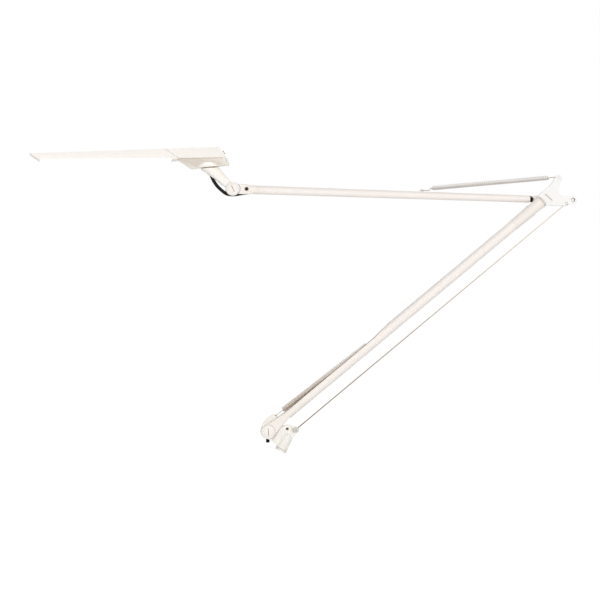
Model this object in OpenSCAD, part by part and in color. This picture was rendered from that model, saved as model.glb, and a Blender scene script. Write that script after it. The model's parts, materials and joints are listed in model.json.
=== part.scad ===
// Spring-balanced arm lamp with a long thin light head, in millimetres.
// The origin is the centre of the socket's mouth, +Z is up and -Y faces the viewer.

/* [Socket] */
// Radius of the bore that drops over the clamp's spigot
socket_bore_r = 5; // [4:0.1:5.2]
// Wall of the socket bush
bush_wall = 1.2; // [0.8:0.1:1.3]
// Length of the socket bush
bush_length = 22; // [16:0.5:23]
// Radius of the bracket's stub
stub_r = 7.5; // [7.4:0.1:8.2]
// Lean of the socket's axis from the vertical
socket_lean = 26; // [22:1:30]
// Thickness of the bush's flange, which shows as a step at the mouth
flange_t = 3; // [2:0.5:4]

/* [Bracket] */
// Distance of the lower pivot to the left of the mouth
pivot_left = 16.3; // [15:0.1:18]
// Height of the lower pivot above the mouth
pivot_up = 25.2; // [24:0.1:28]
// Half the thickness of the bracket's web
web_half = 4; // [3.4:0.1:4.4]
// Radius of the bracket's disc around the lower pivot
web_disc_r = 9.4; // [8.8:0.1:10]
// Half the thickness of the spring lug
lug_half = 1.8; // [1.4:0.1:2.4]
// Radius of the spring lug's round tip
lug_r = 3.7; // [3.4:0.1:4.2]
// Distance of the spring lug's hole from the lower pivot, sideways
lug_out = 8.7; // [8:0.1:9.5]
// Distance of the spring lug's hole from the lower pivot, upwards
lug_up = 19.6; // [18:0.1:21]
// Radius of the lower pivot bolt
pivot_bolt_r = 3; // [2.4:0.1:3.6]
// Radius of the slotted caps on the two big pivots
cap_r = 9; // [8:0.1:9.4]
// Height of the caps' domes
cap_dome = 3; // [2:0.1:4]

/* [Lower arm] */
// Length of the lower arm from pivot to pivot
lower_arm_length = 463.3; // [360:1:560]
// Rise of the lower arm at rest, in degrees
lower_arm_angle = 39.6; // [36:0.1:44]
// Outer radius of the lower tube
lower_tube_r = 7; // [6.8:0.1:7.6]
// Wall of the lower tube
lower_tube_wall = 1.2; // [1:0.1:1.3]
// Height of the tube's axis over the line between the pivots
lower_tube_offset = 2.5; // [2:0.1:3]
// Distance from the lower pivot to the start of the tube
fork_reach = 34; // [33:0.5:38]
// Far end of the open channel that the lower spring lies in
channel_end = 188; // [150:1:230]
// Height of the channel's side walls over the tube's axis
channel_height = 3.6; // [2.5:0.1:4.5]
// Radius of the sleeve that holds the elbow
sleeve_r = 8; // [7.9:0.1:8.6]
// Length of the sleeve before the elbow pivot
sleeve_length = 42; // [34:1:60]
// Reach of the sleeve's cheeks past the elbow pivot
cheek_reach = 6.5; // [5.5:0.1:7]

/* [Linkage] */
// Distance from each arm pivot to the rod's pivot, sideways
link_out = 36.3; // [35:0.1:40]
// Distance from each arm pivot to the rod's pivot, upwards
link_up = 2.3; // [1.5:0.1:3]
// Radius of the parallel rod
rod_r = 1; // [0.8:0.1:1.3]
// Radius of the rod's two eyes
rod_eye_r = 3; // [2.6:0.1:3.4]
// Radius of the rod's two pins
rod_pin_r = 1.2; // [1:0.1:1.5]

/* [Elbow] */
// Half the thickness of the elbow plate
plate_half = 3; // [2.6:0.1:3.6]
// Half the thickness of the plate's tongue in the sleeve
tongue_half = 4; // [3.7:0.1:4.3]
// Distance from the elbow pivot to the upper arm's pivot, sideways
upper_out = 16.4; // [16:0.1:18]
// Distance from the elbow pivot to the upper arm's pivot, upwards
upper_up = 8.1; // [7:0.1:9]
// Distance from the elbow pivot to the spring post, sideways
post_out = 26; // [24:0.5:28]
// Distance from the elbow pivot to the spring post, upwards
post_up = 35.9; // [33:0.5:39]
// Radius of the horn's tip around the spring post
horn_r = 4.2; // [3.6:0.1:4.6]
// Distance from the elbow pivot to the spare hole, sideways
spare_out = 45.2; // [44.5:0.1:48]
// Distance from the elbow pivot to the spare hole, upwards
spare_up = 7.2; // [6.5:0.1:8]
// Radius of the spare hole
spare_r = 2.6; // [2:0.1:3]
// Wall around the spare hole
spare_wall = 2.3; // [2:0.1:3]

/* [Upper arm] */
// Length of the upper arm from pivot to pivot
upper_arm_length = 418.7; // [340:1:500]
// Fall of the upper arm towards the elbow at rest, in degrees
upper_arm_angle = 1.65; // [0:0.05:4]
// Distance of the upper arm's plane behind the lower arm's plane
upper_plane = 13.5; // [13.5:0.1:16]
// Outer radius of the upper tube at the neck end
upper_tube_neck_r = 5.65; // [5.4:0.05:6.2]
// Outer radius of the upper tube at the elbow end
upper_tube_elbow_r = 4.7; // [4.5:0.05:5.3]
// Wall of the upper tube
upper_tube_wall = 1; // [0.8:0.1:1.1]
// Length of the flattened end before the tube, at the neck
neck_end_length = 30; // [26:0.5:40]
// Length of the bare tongue behind the tube, at the elbow
elbow_end_length = 26; // [25:0.5:32]
// Half the thickness of the flattened ends
flat_half = 3; // [2.6:0.1:3.2]
// Distance from the neck pivot to the spring saddle
saddle_at = 250; // [200:1:280]

/* [Springs and leads] */
// Outer radius of both springs
spring_r = 3.75; // [3.2:0.05:4]
// Radius of the springs' wire
wire_r = 0.5; // [0.4:0.05:0.6]
// Curls of each spring
curls = 38; // [20:1:40]
// Distance from the lower pivot to the lower spring's pin in the tube
spring_pin_at = 205; // [198:1:260]
// Height of that pin over the line between the pivots
spring_pin_up = 5.4; // [5:0.1:5.8]
// Radius of that pin
spring_pin_r = 1.2; // [1:0.1:1.4]
// Distance from the lug's hole to the first curl of the lower spring
low_coil_start = 13.3; // [10:0.1:20]
// Distance from the last curl of the lower spring to its pin
low_coil_end = 27; // [20:0.5:60]
// Distance from the saddle's hole to the first curl of the upper spring
up_coil_start = 11; // [8:0.1:20]
// Distance from the last curl of the upper spring to the spring post
up_coil_end = 9.3; // [8:0.1:20]
// Radius of the electric lead
lead_r = 2.2; // [1.6:0.1:2.3]

/* [Neck] */
// Half the width of the neck's fork across its cheeks
fork_half = 6.3; // [6:0.1:7.5]
// Radius of the neck's cheeks around its pivot
fork_r = 8.8; // [8.2:0.1:9.2]
// Distance from the neck pivot to the swivel face, sideways
swivel_out = 29.3; // [27:0.1:31]
// Distance from the neck pivot to the swivel face, upwards
swivel_up = 28.3; // [27:0.1:31]
// Distance of the swivel's axis in front of the middle of its face
swivel_shift = 2.6; // [1:0.1:4]
// Lean of the swivel's axis from the vertical
swivel_lean = 5.2; // [3:0.1:7]
// Radius of the swivel's boss under the head
boss_r = 14.8; // [13:0.1:15.5]
// Thickness of the swivel's friction washer
washer_t = 0.8; // [0.5:0.1:1.2]

/* [Head] */
// Rise of the head towards its rear at rest, in degrees
head_slope = 1.1; // [0:0.1:3]
// Width of the head
head_w = 44; // [38:1:52]
// Width of the head's tip
tip_w = 40; // [34:1:44]
// Reach of the tip in front of the swivel's axis
tip_reach = 230; // [190:1:280]
// Reach of the head's rear edge behind the swivel's axis
rear_reach = 27.6; // [26:0.1:32]
// Height of the bar's top at the tip over the swivel face
tip_top = 19.6; // [18:0.1:21]
// Height of the head's top at the rear over the swivel face
rear_top = 24.6; // [23:0.1:27]
// Height of the bar's lower edge over the swivel face
bar_low = 10.6; // [9.5:0.1:11.5]
// Height of the keel under the swivel face at the front of the housing
keel_drop = 2.4; // [1:0.1:3.5]
// Half the width of the keel's bottom
keel_half = 3; // [2:0.1:5]
// Wall of the head's shells
shell_t = 1.6; // [1.2:0.1:2.2]
// Width of the diffuser
diffuser_w = 34; // [26:1:36]
// How far the diffuser stands out under the bar
diffuser_proud = 1; // [0.5:0.1:1.6]
// Radius of the power button
button_r = 2.2; // [1.8:0.1:2.6]
// How far the power button stands out
button_proud = 1.2; // [1:0.1:1.8]

/* [Hidden] */

$fn = 48;
hull_fn = 32;
// Radial gap of a shaft that turns in its hole
run_gap = 0.05;
// Gap between flat faces that slide on each other
face_gap = 0.1;
// Gap kept between pieces that only lie near each other
rest_gap = 0.3;
neck_eye_r = 4.8;
eps = 0.01;
rivet_at = [fork_reach + 8, fork_reach + 20];
rivet_r = 1.2;
gland_r = 1.7;
gland_rim_r = 2.3;
rod_lowers = 14;
lug_hole_r = 1.5;
post_r = 1.6;
saddle_up = 8.6;
saddle_ear_r = 2.6;
saddle_hole_r = 1.3;
saddle_half = 0.9;
tube_end = lower_arm_length - 20;
lead_exit = lower_arm_length - sleeve_length - 20;

pivot = [-pivot_left, pivot_up];
link = [link_out, link_up];
lower_dir = [cos(lower_arm_angle), sin(lower_arm_angle)];
elbow = pivot + lower_arm_length * lower_dir;
rod_low = pivot + link;
rod_high = elbow + link;
upper_pivot = elbow + [upper_out, upper_up];
post = elbow + [post_out, post_up];
neck_pivot = upper_pivot + upper_arm_length * [-cos(upper_arm_angle), sin(upper_arm_angle)];
swivel = neck_pivot + [-swivel_out, swivel_up];
lug = pivot + [lug_out, lug_up];
lower_bore_r = lower_tube_r - lower_tube_wall;
bush_r = socket_bore_r + bush_wall;
washer_gap = 0.6;
thin_washer_t = washer_gap - face_gap;
thin_lead_r = lead_r - 0.5;
cheek_in = web_half + washer_gap;
cheek_out = cheek_in + 3.4;

// Points on an arc of the XZ plane, from angle a0 to angle a1
function arc(c, r, a0, a1, n = 12) = [for (i = [0:n]) let (a = a0 + (a1 - a0) * i / n) c + r * [cos(a), sin(a)]];
// Points on a quadratic curve from p to r that leans towards q
function curve(p, q, r, n = 10) = [for (i = [0:n]) let (t = i / n)
    (1 - t) * (1 - t) * p + 2 * t * (1 - t) * q + t * t * r];
function unit(v) = v / norm(v);
function at_y(p, y) = [p[0], y, p[1]];
// Smooth route through hand-chosen points, with n steps between two of them
function route(p, n) = concat([for (i = [0:len(p) - 2]) for (k = [0:n - 1]) let (
    a = p[max(i - 1, 0)], b = p[i], c = p[i + 1], d = p[min(i + 2, len(p) - 1)], t = k / n)
    0.5 * (2 * b + (c - a) * t + (2 * a - 5 * b + 4 * c - d) * t * t + (3 * b - a - 3 * c + d) * t * t * t)],
    [p[len(p) - 1]]);
function tangents(p) = [for (i = [0:len(p) - 1]) unit(p[min(i + 1, len(p) - 1)] - p[max(i - 1, 0)])];
// Side vectors carried along a path without twist
function sides(t, start) = [for (i = 0, s = unit(start - (start * t[0]) * t[0]); i < len(t);
    i = i + 1, s = i < len(t) ? unit(s - (s * t[i]) * t[i]) : s) s];

// Round tube of radius r along a path, or along part of it, with n sides and flat ends
module tube_along(p, r, n = 8, first = 0, last = undef) {
    t = tangents(p);
    s = sides(t, [0, 1, 0]);
    end = is_undef(last) ? len(p) - 1 : last;
    m = end - first + 1;
    points = [for (i = [first:end]) for (k = [0:n - 1])
        p[i] + r * (cos(360 * k / n) * s[i] + sin(360 * k / n) * cross(t[i], s[i]))];
    walls = [for (i = [0:m - 2]) for (k = [0:n - 1]) let (a = i * n + k, b = i * n + (k + 1) % n)
        each [[a, a + n, b], [b, a + n, b + n]]];
    caps = [for (k = [1:n - 2]) each [[0, k, k + 1], [(m - 1) * n, (m - 1) * n + k + 1, (m - 1) * n + k]]];
    polyhedron(points = points, faces = concat(walls, caps), convexity = 10);
}

// Shaft along Y between two depths
module cyl_y(r, y0, y1) { translate([0, y0, 0]) rotate([-90, 0, 0]) cylinder(r = r, h = y1 - y0); }
// Outline in the XZ plane, thickened between two depths
module slab(y0, y1) { translate([0, y1, 0]) rotate([90, 0, 0]) linear_extrude(y1 - y0) children(); }
module at(p, y = 0) { translate([p[0], y, p[1]]) children(); }
module on_socket() { rotate([0, socket_lean, 0]) children(); }
module on_lower() { at(pivot) rotate([0, -lower_arm_angle, 0]) children(); }
module on_upper() { at(neck_pivot, upper_plane) rotate([0, upper_arm_angle, 0]) children(); }
module on_swivel() { at(swivel, upper_plane) rotate([0, -swivel_lean, 0]) children(); }
module on_head() { at(swivel, upper_plane) rotate([0, -head_slope, 0]) children(); }
// Cylinder along X between two stations
module cyl_x(r0, r1, x0, x1) {
    translate([x0, 0, 0]) rotate([0, 90, 0]) cylinder(r1 = r0, r2 = r1, h = x1 - x0);
}

// Rod of radius r from p to q, made longer by e0 before p and e1 after q
module rod_between(p, q, r, e0 = 0, e1 = 0) {
    d = q - p;
    translate(p) rotate([0, acos(d[2] / norm(d)), atan2(d[1], d[0])])
        translate([0, 0, -e0]) cylinder(r = r, h = norm(d) + e0 + e1);
}

// Low dome on a short drum, its flat face at y = 0 and its dome towards -Y
module cap(r, rim, dome) {
    edge = r - 0.05;
    ball_r = (edge * edge + dome * dome) / (2 * dome);
    cyl_y(r, -rim, 0);
    intersection() {
        translate([0, ball_r - dome - rim, 0]) sphere(r = ball_r, $fn = 240);
        translate([-r - 1, -rim - dome - 1, -r - 1]) cube([2 * r + 2, dome + 1, 2 * r + 2]);
    }
}

// Cap with a coin slot across its dome
module slotted_cap(slot_turn) {
    slot_w = 1.2;
    slot_l = 11.7;
    slot_d = 1.3;
    rim = 1.2;
    difference() {
        cap(cap_r, rim, cap_dome);
        rotate([0, slot_turn, 0]) translate([-slot_w / 2, -rim - cap_dome - 1, -slot_l / 2])
            cube([slot_w, slot_d + 1, slot_l]);
    }
}

module socket_bush() {
    color("gainsboro") on_socket() difference() {
        union() {
            cylinder(r = stub_r, h = flange_t);
            cylinder(r = bush_r, h = bush_length);
        }
        translate([0, 0, -1]) cylinder(r = socket_bore_r, h = bush_length + 2);
    }
}

// Point beside the stub's axis, in stub radii, at a height over the mouth
function stub_point(side, up) = side * stub_r * [cos(socket_lean), -sin(socket_lean)]
    + up * [sin(socket_lean), cos(socket_lean)];

// Side view of the bracket's web between the pivot, the rod's ear and the stub
module web_outline() {
    ear_r = 4;
    ear_top = rod_low + [0, ear_r];
    ear_side = rod_low + ear_r * [cos(-45), sin(-45)];
    polygon(concat(
        [pivot + [0, -web_disc_r], stub_point(-1, 5.5), stub_point(0, 5.5)],
        curve(stub_point(1, 8), rod_low + [-8.6, -14], ear_side),
        arc(rod_low, ear_r, -45, 90, 8),
        curve(ear_top, pivot + [24.3, 12.8], pivot + [14.3, 3.8]),
        [pivot + [web_disc_r - 3, 0]]));
    translate(pivot) circle(r = web_disc_r);
}

// Side view of the thin lug that the lower spring hooks into
module lug_outline() {
    polygon(concat(
        curve(pivot + [-9.2, 2], pivot + [-7.2, 15.6], lug + lug_r * [cos(120), sin(120)]),
        arc(lug, lug_r, 120, -40, 10),
        [pivot + [web_disc_r - 1, 3], pivot]));
}

module base_bracket() {
    bore_end = bush_length + 1;
    ball_up = 19;
    hole_r = 1.8;
    rod_slot = 1.6;
    color("whitesmoke") difference() {
        union() {
            slab(-web_half, web_half) web_outline();
            slab(-lug_half, lug_half) lug_outline();
            on_socket() translate([0, 0, flange_t + face_gap])
                cylinder(r = stub_r, h = ball_up - flange_t - face_gap);
            on_socket() translate([0, 0, ball_up]) sphere(r = stub_r);
        }
        on_socket() translate([0, 0, -1]) cylinder(r = bush_r + run_gap, h = bore_end + 1);
        at(pivot) cyl_y(pivot_bolt_r + run_gap, -20, 20);
        at(lug) cyl_y(lug_hole_r, -20, 20);
        at(rod_low + [-11.1, 1.4]) cyl_y(hole_r, -20, 20);
        at(rod_low) cyl_y(rod_pin_r + run_gap, -20, 20);
        at(rod_low) cyl_y(rod_eye_r + 2.2, -rod_slot, rod_slot);
        at(pivot) translate([0, 0, -web_disc_r - 2]) cylinder(r = gland_r + run_gap, h = 5);
        at(pivot) translate([0, 0, -web_disc_r - 6]) cylinder(r = gland_rim_r + rest_gap, h = 5.9);
    }
}

module lower_pivot_bolt() {
    color("silver") at(pivot) cyl_y(pivot_bolt_r, -cheek_out, cheek_out);
}

module lower_pivot_cap() {
    color("white") at(pivot, -cheek_out - face_gap) slotted_cap(0);
}

module lower_pivot_nut() {
    color("white") at(pivot, cheek_out + face_gap) mirror([0, 1, 0]) cap(cap_r, 1.5, 1.2);
}

// Two thin rings between the web and the fork's cheeks
module lower_pivot_washers() {
    color("dimgray") at(pivot) for (s = [-1, 1]) scale([1, s, 1]) difference() {
        cyl_y(web_disc_r - 1, web_half + face_gap / 2, web_half + face_gap / 2 + thin_washer_t);
        cyl_y(pivot_bolt_r + run_gap, 0, cheek_in + 1);
    }
}

module rod_lower_pin() {
    head_r = 3.2;
    head_t = 1.6;
    color("silver") at(rod_low) {
        cyl_y(rod_pin_r, -web_half, web_half);
        difference() {
            cyl_y(head_r, -web_half - head_t, -web_half);
            translate([-0.4, -web_half - head_t - 1, -head_r]) cube([0.8, 1.7, 2 * head_r]);
        }
        translate([0, web_half, 0]) rotate([-90, 0, 0]) cylinder(r = head_r, h = head_t, $fn = 6);
    }
}

// Black grommet that the mains lead leaves the knuckle through
module cable_gland() {
    color("black") at(pivot) difference() {
        union() {
            translate([0, 0, -web_disc_r - 4.6]) cylinder(r = gland_rim_r, h = 4.5);
            translate([0, 0, -web_disc_r - 0.2]) cylinder(r = gland_r, h = 3);
        }
        translate([0, 0, -web_disc_r - 5]) cylinder(r = gland_r - 0.6, h = 9);
    }
}

// Fork that straddles the web and runs on inside the tube as two liners
module lower_foot() {
    disc_r = 9;
    liner_r = lower_bore_r - run_gap;
    liner_end = fork_reach + 26;
    side_top = lower_tube_offset + channel_height;
    color("whitesmoke") on_lower() difference() {
        union() {
            for (s = [-1, 1]) hull() {
                scale([1, s, 1]) cyl_y(disc_r, cheek_in, cheek_out, $fn = hull_fn);
                intersection() {
                    translate([0, 0, lower_tube_offset])
                        cyl_x(lower_tube_r, lower_tube_r, fork_reach - 6, fork_reach, $fn = hull_fn);
                    translate([0, s > 0 ? cheek_in : -20, -20]) cube([60, 20 - cheek_in, 20 + side_top]);
                }
            }
            intersection() {
                translate([0, 0, lower_tube_offset]) cyl_x(liner_r, liner_r, fork_reach - 1, liner_end);
                for (s = [-1, 1]) translate([0, s > 0 ? cheek_in : -20, -20])
                    cube([100, 20 - cheek_in, 20 + side_top]);
            }
        }
        cyl_y(pivot_bolt_r + run_gap, -20, 20);
        for (x = rivet_at) translate([x, 0, lower_tube_offset]) cyl_y(rivet_r + run_gap, -20, 20);
    }
}

// Round tube whose first stretch is an open channel for the spring
module lower_tube() {
    lead_hole_z = 0.8;
    lead_hole_r = 2.4;
    lead_slot = 5;
    side_top = lower_tube_offset + channel_height;
    color("whitesmoke") on_lower() difference() {
        translate([0, 0, lower_tube_offset])
            cyl_x(lower_tube_r, lower_tube_r, fork_reach + face_gap, tube_end);
        translate([0, 0, lower_tube_offset]) cyl_x(lower_bore_r, lower_bore_r, 0, tube_end + 1);
        slab(-20, 20) polygon([[0, side_top], [channel_end - 12, side_top],
            [channel_end, lower_tube_offset + lower_tube_r + 1], [0, 40]]);
        for (x = rivet_at) translate([x, 0, lower_tube_offset]) cyl_y(rivet_r + run_gap, -20, 20);
        translate([spring_pin_at, 0, spring_pin_up]) cyl_y(spring_pin_r + run_gap, -20, 20);
        for (x = [0, lead_slot]) translate([lead_exit + x, 0, lead_hole_z]) cyl_y(lead_hole_r, 0, 20);
        translate([lead_exit, 0, lead_hole_z - lead_hole_r]) cube([lead_slot, 20, 2 * lead_hole_r]);
    }
}

module foot_rivets() {
    color("whitesmoke") on_lower() for (s = [-1, 1]) for (x = rivet_at)
        translate([x, 0, lower_tube_offset]) scale([1, s, 1]) {
            cyl_y(rivet_r, cheek_in + 0.1, lower_tube_r);
            translate([0, lower_tube_r, 0]) mirror([0, 1, 0]) cap(2, 0.1, 0.7);
        }
}

module lower_spring_pin() {
    rise = spring_pin_up - lower_tube_offset;
    half = sqrt(lower_tube_r * lower_tube_r - rise * rise) - 0.1;
    color("silver") on_lower() translate([spring_pin_at, 0, spring_pin_up]) cyl_y(spring_pin_r, -half, half);
}

module lower_lead() {
    lead_z = lower_tube_offset - lower_bore_r + lead_r + 0.1;
    color("black") on_lower() translate([0, 0, lead_z])
        cyl_x(lead_r, lead_r, fork_reach + 2, lead_exit - 10.3);
}

// Sleeve over the tube's end, slotted into two cheeks for the elbow plate
module elbow_sleeve() {
    slot_half = tongue_half + rest_gap;
    color("whitesmoke") on_lower() difference() {
        translate([0, 0, lower_tube_offset]) {
            cyl_x(lower_tube_r + 0.5, sleeve_r, lower_arm_length - sleeve_length, tube_end);
            cyl_x(sleeve_r, sleeve_r, tube_end, lower_arm_length + cheek_reach);
        }
        translate([0, 0, lower_tube_offset]) {
            cyl_x(lower_tube_r + run_gap, lower_tube_r + run_gap, 0, tube_end + face_gap);
            cyl_x(3.4, 3.4, 0, lower_arm_length);
        }
        translate([lower_arm_length - 12, -slot_half, -30]) cube([60, 2 * slot_half, 60]);
        translate([lower_arm_length, 0, 0]) cyl_y(2.2 + run_gap, -20, 20);
    }
}

module elbow_pin() {
    half = sqrt(sleeve_r * sleeve_r - lower_tube_offset * lower_tube_offset) - 0.3;
    color("silver") on_lower() translate([lower_arm_length, 0, 0]) cyl_y(2.2, -half, half);
}

// Open loop round a pin
function hook(c, r, a0, a1, y, n = 11) = [for (i = [0:n]) let (a = a0 + (a1 - a0) * i / n)
    at_y(c + r * [cos(a), sin(a)], y)];
// Hook that goes through the hole of a thin plate and comes round the plate's edge
function plate_hook(c, d, half, hole_r, edge, y) =
    let (g = half + wire_r + rest_gap, q = hole_r - wire_r - face_gap, over = edge + wire_r + rest_gap)
    [for (s = [[q + 2.2, g], [q + 0.6, g], [q, g - 0.5], [q, 0.5 - g],
        [q + 0.6, -g], [over, -g], [over + 1.5, -g / 2]]) at_y(c + s[0] * d, y + s[1])];
// Wire of an extension spring, from the plate's hole at a to the pin at b
function spring_path(a, b, eye, hook_r, run_a, run_b, y) =
    let (d = unit(b - a), up = [-d[1], d[0]], turn = atan2(d[1], d[0]), coil_r = spring_r - wire_r,
        start = a + run_a * d, stop = b - run_b * d, steps = curls * 8, m = (stop - start) / steps)
    concat(
        plate_hook(a, d, eye[0], eye[1], eye[2], y),
        [at_y(start - 1.2 * d, y)],
        [for (i = [0:steps]) let (grow = min(1, i / 4, (steps - i) / 4), c = start + m * i, w = coil_r * grow)
            [c[0] + up[0] * w * cos(45 * i), y + w * sin(45 * i), c[1] + up[1] * w * cos(45 * i)]],
        [at_y(stop + 1.2 * d, y), at_y(b - (hook_r + 1.5) * d + 0.6 * up, y)],
        hook(b, hook_r, turn + 130, turn - 130, y));
// Least distance between stretches of wire that are not neighbours
function least_gap(p) = min([for (i = [0:len(p) - 7])
    min([for (j = [i + 6:len(p) - 1]) norm(p[i] - p[j])])]) - 2 * wire_r;

function upper_point(x, z) = neck_pivot + x * [cos(upper_arm_angle), -sin(upper_arm_angle)]
    + z * [sin(upper_arm_angle), cos(upper_arm_angle)];
spring_pin = pivot + spring_pin_at * lower_dir + spring_pin_up * [-lower_dir[1], lower_dir[0]];
lower_spring_path = spring_path(lug, spring_pin,
    [lug_half, lug_hole_r, lug_r], spring_pin_r + wire_r + face_gap, low_coil_start, low_coil_end, 0);
upper_spring_path = spring_path(upper_point(saddle_at, saddle_up), post,
    [saddle_half, saddle_hole_r, saddle_ear_r], post_r + wire_r + face_gap,
    up_coil_start, up_coil_end, upper_plane);

module lower_spring() {
    echo(str("least gap of the lower spring to itself: ", least_gap(lower_spring_path), " mm"));
    color("slategray") tube_along(lower_spring_path, wire_r, 6);
}

module upper_spring() {
    echo(str("least gap of the upper spring to itself: ", least_gap(upper_spring_path), " mm"));
    color("slategray") tube_along(upper_spring_path, wire_r, 6);
}

module parallel_rod() {
    eye_half = 1.3;
    open_r = rod_pin_r + 0.4;
    color("silver") at(rod_low) rotate([0, -lower_arm_angle, 0]) difference() {
        union() {
            cyl_x(rod_r, rod_r, rod_eye_r - 0.5, lower_arm_length - rod_eye_r + 0.5);
            cyl_y(rod_eye_r, -eye_half, eye_half);
            translate([lower_arm_length, 0, 0]) cyl_y(rod_eye_r, -eye_half, eye_half);
        }
        cyl_y(rod_pin_r + run_gap, -9, 9);
        translate([lower_arm_length, 0, 0]) cyl_y(open_r, -9, 9);
    }
}

// Side view of the elbow plate, from the hub over the horn to the ear
module plate_outline() {
    hub_r = 5;
    ear = [spare_out, spare_up];
    ear_r = spare_r + spare_wall;
    horn = [post_out, post_up];
    polygon(concat(
        arc([0, 0], hub_r, 300, 165, 10),
        [[-1, 12.1]],
        curve([4.5, 18.1], [15, 24], horn + horn_r * [cos(155), sin(155)]),
        arc(horn, horn_r, 150, -20, 12),
        curve(horn + [1.2, -10], [post_out - 2.3, 13], [post_out + 6, ear[1] + ear_r + 0.2]),
        arc(ear, ear_r, 90, -80, 12),
        [[link_out, link_up - 2.9], [link_out - 13, link_up - 3.1], [12.3, -0.4]]));
}

module elbow_plate() {
    boss_end = upper_plane - flat_half - face_gap - washer_t;
    rod_slot = 1.6;
    color("white") at(elbow) difference() {
        union() {
            slab(-plate_half, plate_half) plate_outline();
            // Thicker tongue that fills the sleeve's slot
            slab(-tongue_half, tongue_half) intersection() {
                plate_outline();
                rotate(lower_arm_angle) translate([-10, -10]) square([24, 30]);
            }
            at([upper_out, upper_up]) cyl_y(6, 0, boss_end);
            at([post_out, post_up]) cyl_y(horn_r - 0.4, 0, plate_half + 3);
        }
        cyl_y(2.2 + run_gap, -20, 20);
        at([spare_out, spare_up]) cyl_y(spare_r, -20, 20);
        at(link) cyl_y(rod_pin_r + run_gap, -20, 20);
        at(link) cyl_y(6.8, -rod_slot, rod_slot);
        // Room for the rod when the arm is down
        at(link) slab(-rod_slot, rod_slot) rotate(180 + lower_arm_angle - rod_lowers)
            translate([0, -rod_r - rest_gap]) square([24, 2 * (rod_r + rest_gap)]);
        at([post_out, post_up]) cyl_y(post_r + run_gap, -20, 20);
        at([upper_out, upper_up]) cyl_y(2.5 + run_gap, -1, 30);
    }
}

module rod_upper_pin() {
    color("silver") at(rod_high) cyl_y(rod_pin_r, -plate_half, plate_half);
}

// Pin across the horn that the upper spring hooks over
module spring_post() {
    post_end = upper_plane + wire_r + 1.2;
    color("silver") at(post) {
        cyl_y(post_r, -plate_half, post_end);
        cyl_y(2.6, post_end, post_end + 1);
    }
}

module upper_pivot_bolt() {
    back = upper_plane + flat_half + face_gap;
    color("white") at(upper_pivot) {
        cyl_y(2.5, -1, back);
        at([0, 0], back) mirror([0, 1, 0]) cap(6, 1.2, 1.6);
    }
}

module elbow_washer() {
    seat = upper_plane - flat_half - face_gap / 2 - washer_t;
    color("dimgray") at(upper_pivot) difference() {
        cyl_y(5.6, seat, seat + washer_t);
        cyl_y(2.5 + run_gap, 0, 30);
    }
}

// Black lead that leaves the lower tube behind the sleeve and turns into the upper tube
elbow_lead_offsets = [[-54.8, 0, -46.7], [-51.4, 0.8, -43.5], [-47.6, 4.5, -38.7], [-43.6, 9, -34.1],
    [-38.6, 11.6, -29.1], [-28.7, 12, -20.6], [-19.6, 12.3, -12.9], [-11.2, 12.9, -5.9], [-6.1, 13.4, -0.9],
    [-4.7, 13.5, 3.1], [-6.3, 13.5, 6], [-9.9, 13.5, 7.2], [-14.1, 13.5, 7.4]];
elbow_lead_path = route([for (q = elbow_lead_offsets) [elbow[0], 0, elbow[1]] + q], 2);
elbow_lead_split = 16;
module elbow_lead_low() {
    color("black") tube_along(elbow_lead_path, thin_lead_r, 8, 0, elbow_lead_split);
}
module elbow_lead_high() {
    color("black") tube_along(elbow_lead_path, thin_lead_r, 8, elbow_lead_split);
}

// Flat tongue that carries the upper tube on the elbow plate
module upper_root() {
    plug_r = upper_tube_elbow_r - upper_tube_wall - run_gap;
    plug_start = upper_arm_length - elbow_end_length - 20;
    root_start = upper_arm_length - elbow_end_length;
    color("whitesmoke") on_upper() difference() {
        union() {
            slab(-flat_half, flat_half) {
                translate([upper_arm_length, 0]) circle(r = 6);
                polygon([[root_start, 2.2], [root_start, 4.4], [upper_arm_length, 6], [upper_arm_length, -6],
                    [root_start + 7, -2.5]]);
            }
            intersection() {
                cyl_x(plug_r, plug_r, plug_start, root_start + 1);
                translate([plug_start, -10, 0.6]) cube([60, 20, 20]);
            }
        }
        translate([upper_arm_length, 0, 0]) cyl_y(2.5 + run_gap, -20, 20);
    }
}

module upper_tube() {
    x0 = neck_end_length + face_gap;
    x1 = upper_arm_length - elbow_end_length;
    color("whitesmoke") on_upper() difference() {
        cyl_x(upper_tube_neck_r, upper_tube_elbow_r, x0, x1);
        cyl_x(upper_tube_neck_r - upper_tube_wall, upper_tube_elbow_r - upper_tube_wall, x0 - eps, x1 + eps);
    }
}

module upper_lead() {
    x0 = neck_end_length + 18;
    x1 = upper_arm_length - elbow_end_length - 4.5;
    color("black") on_upper() rod_between([x0, 0, -2.2], [x1, 0, -1.7], thin_lead_r);
}

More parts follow.
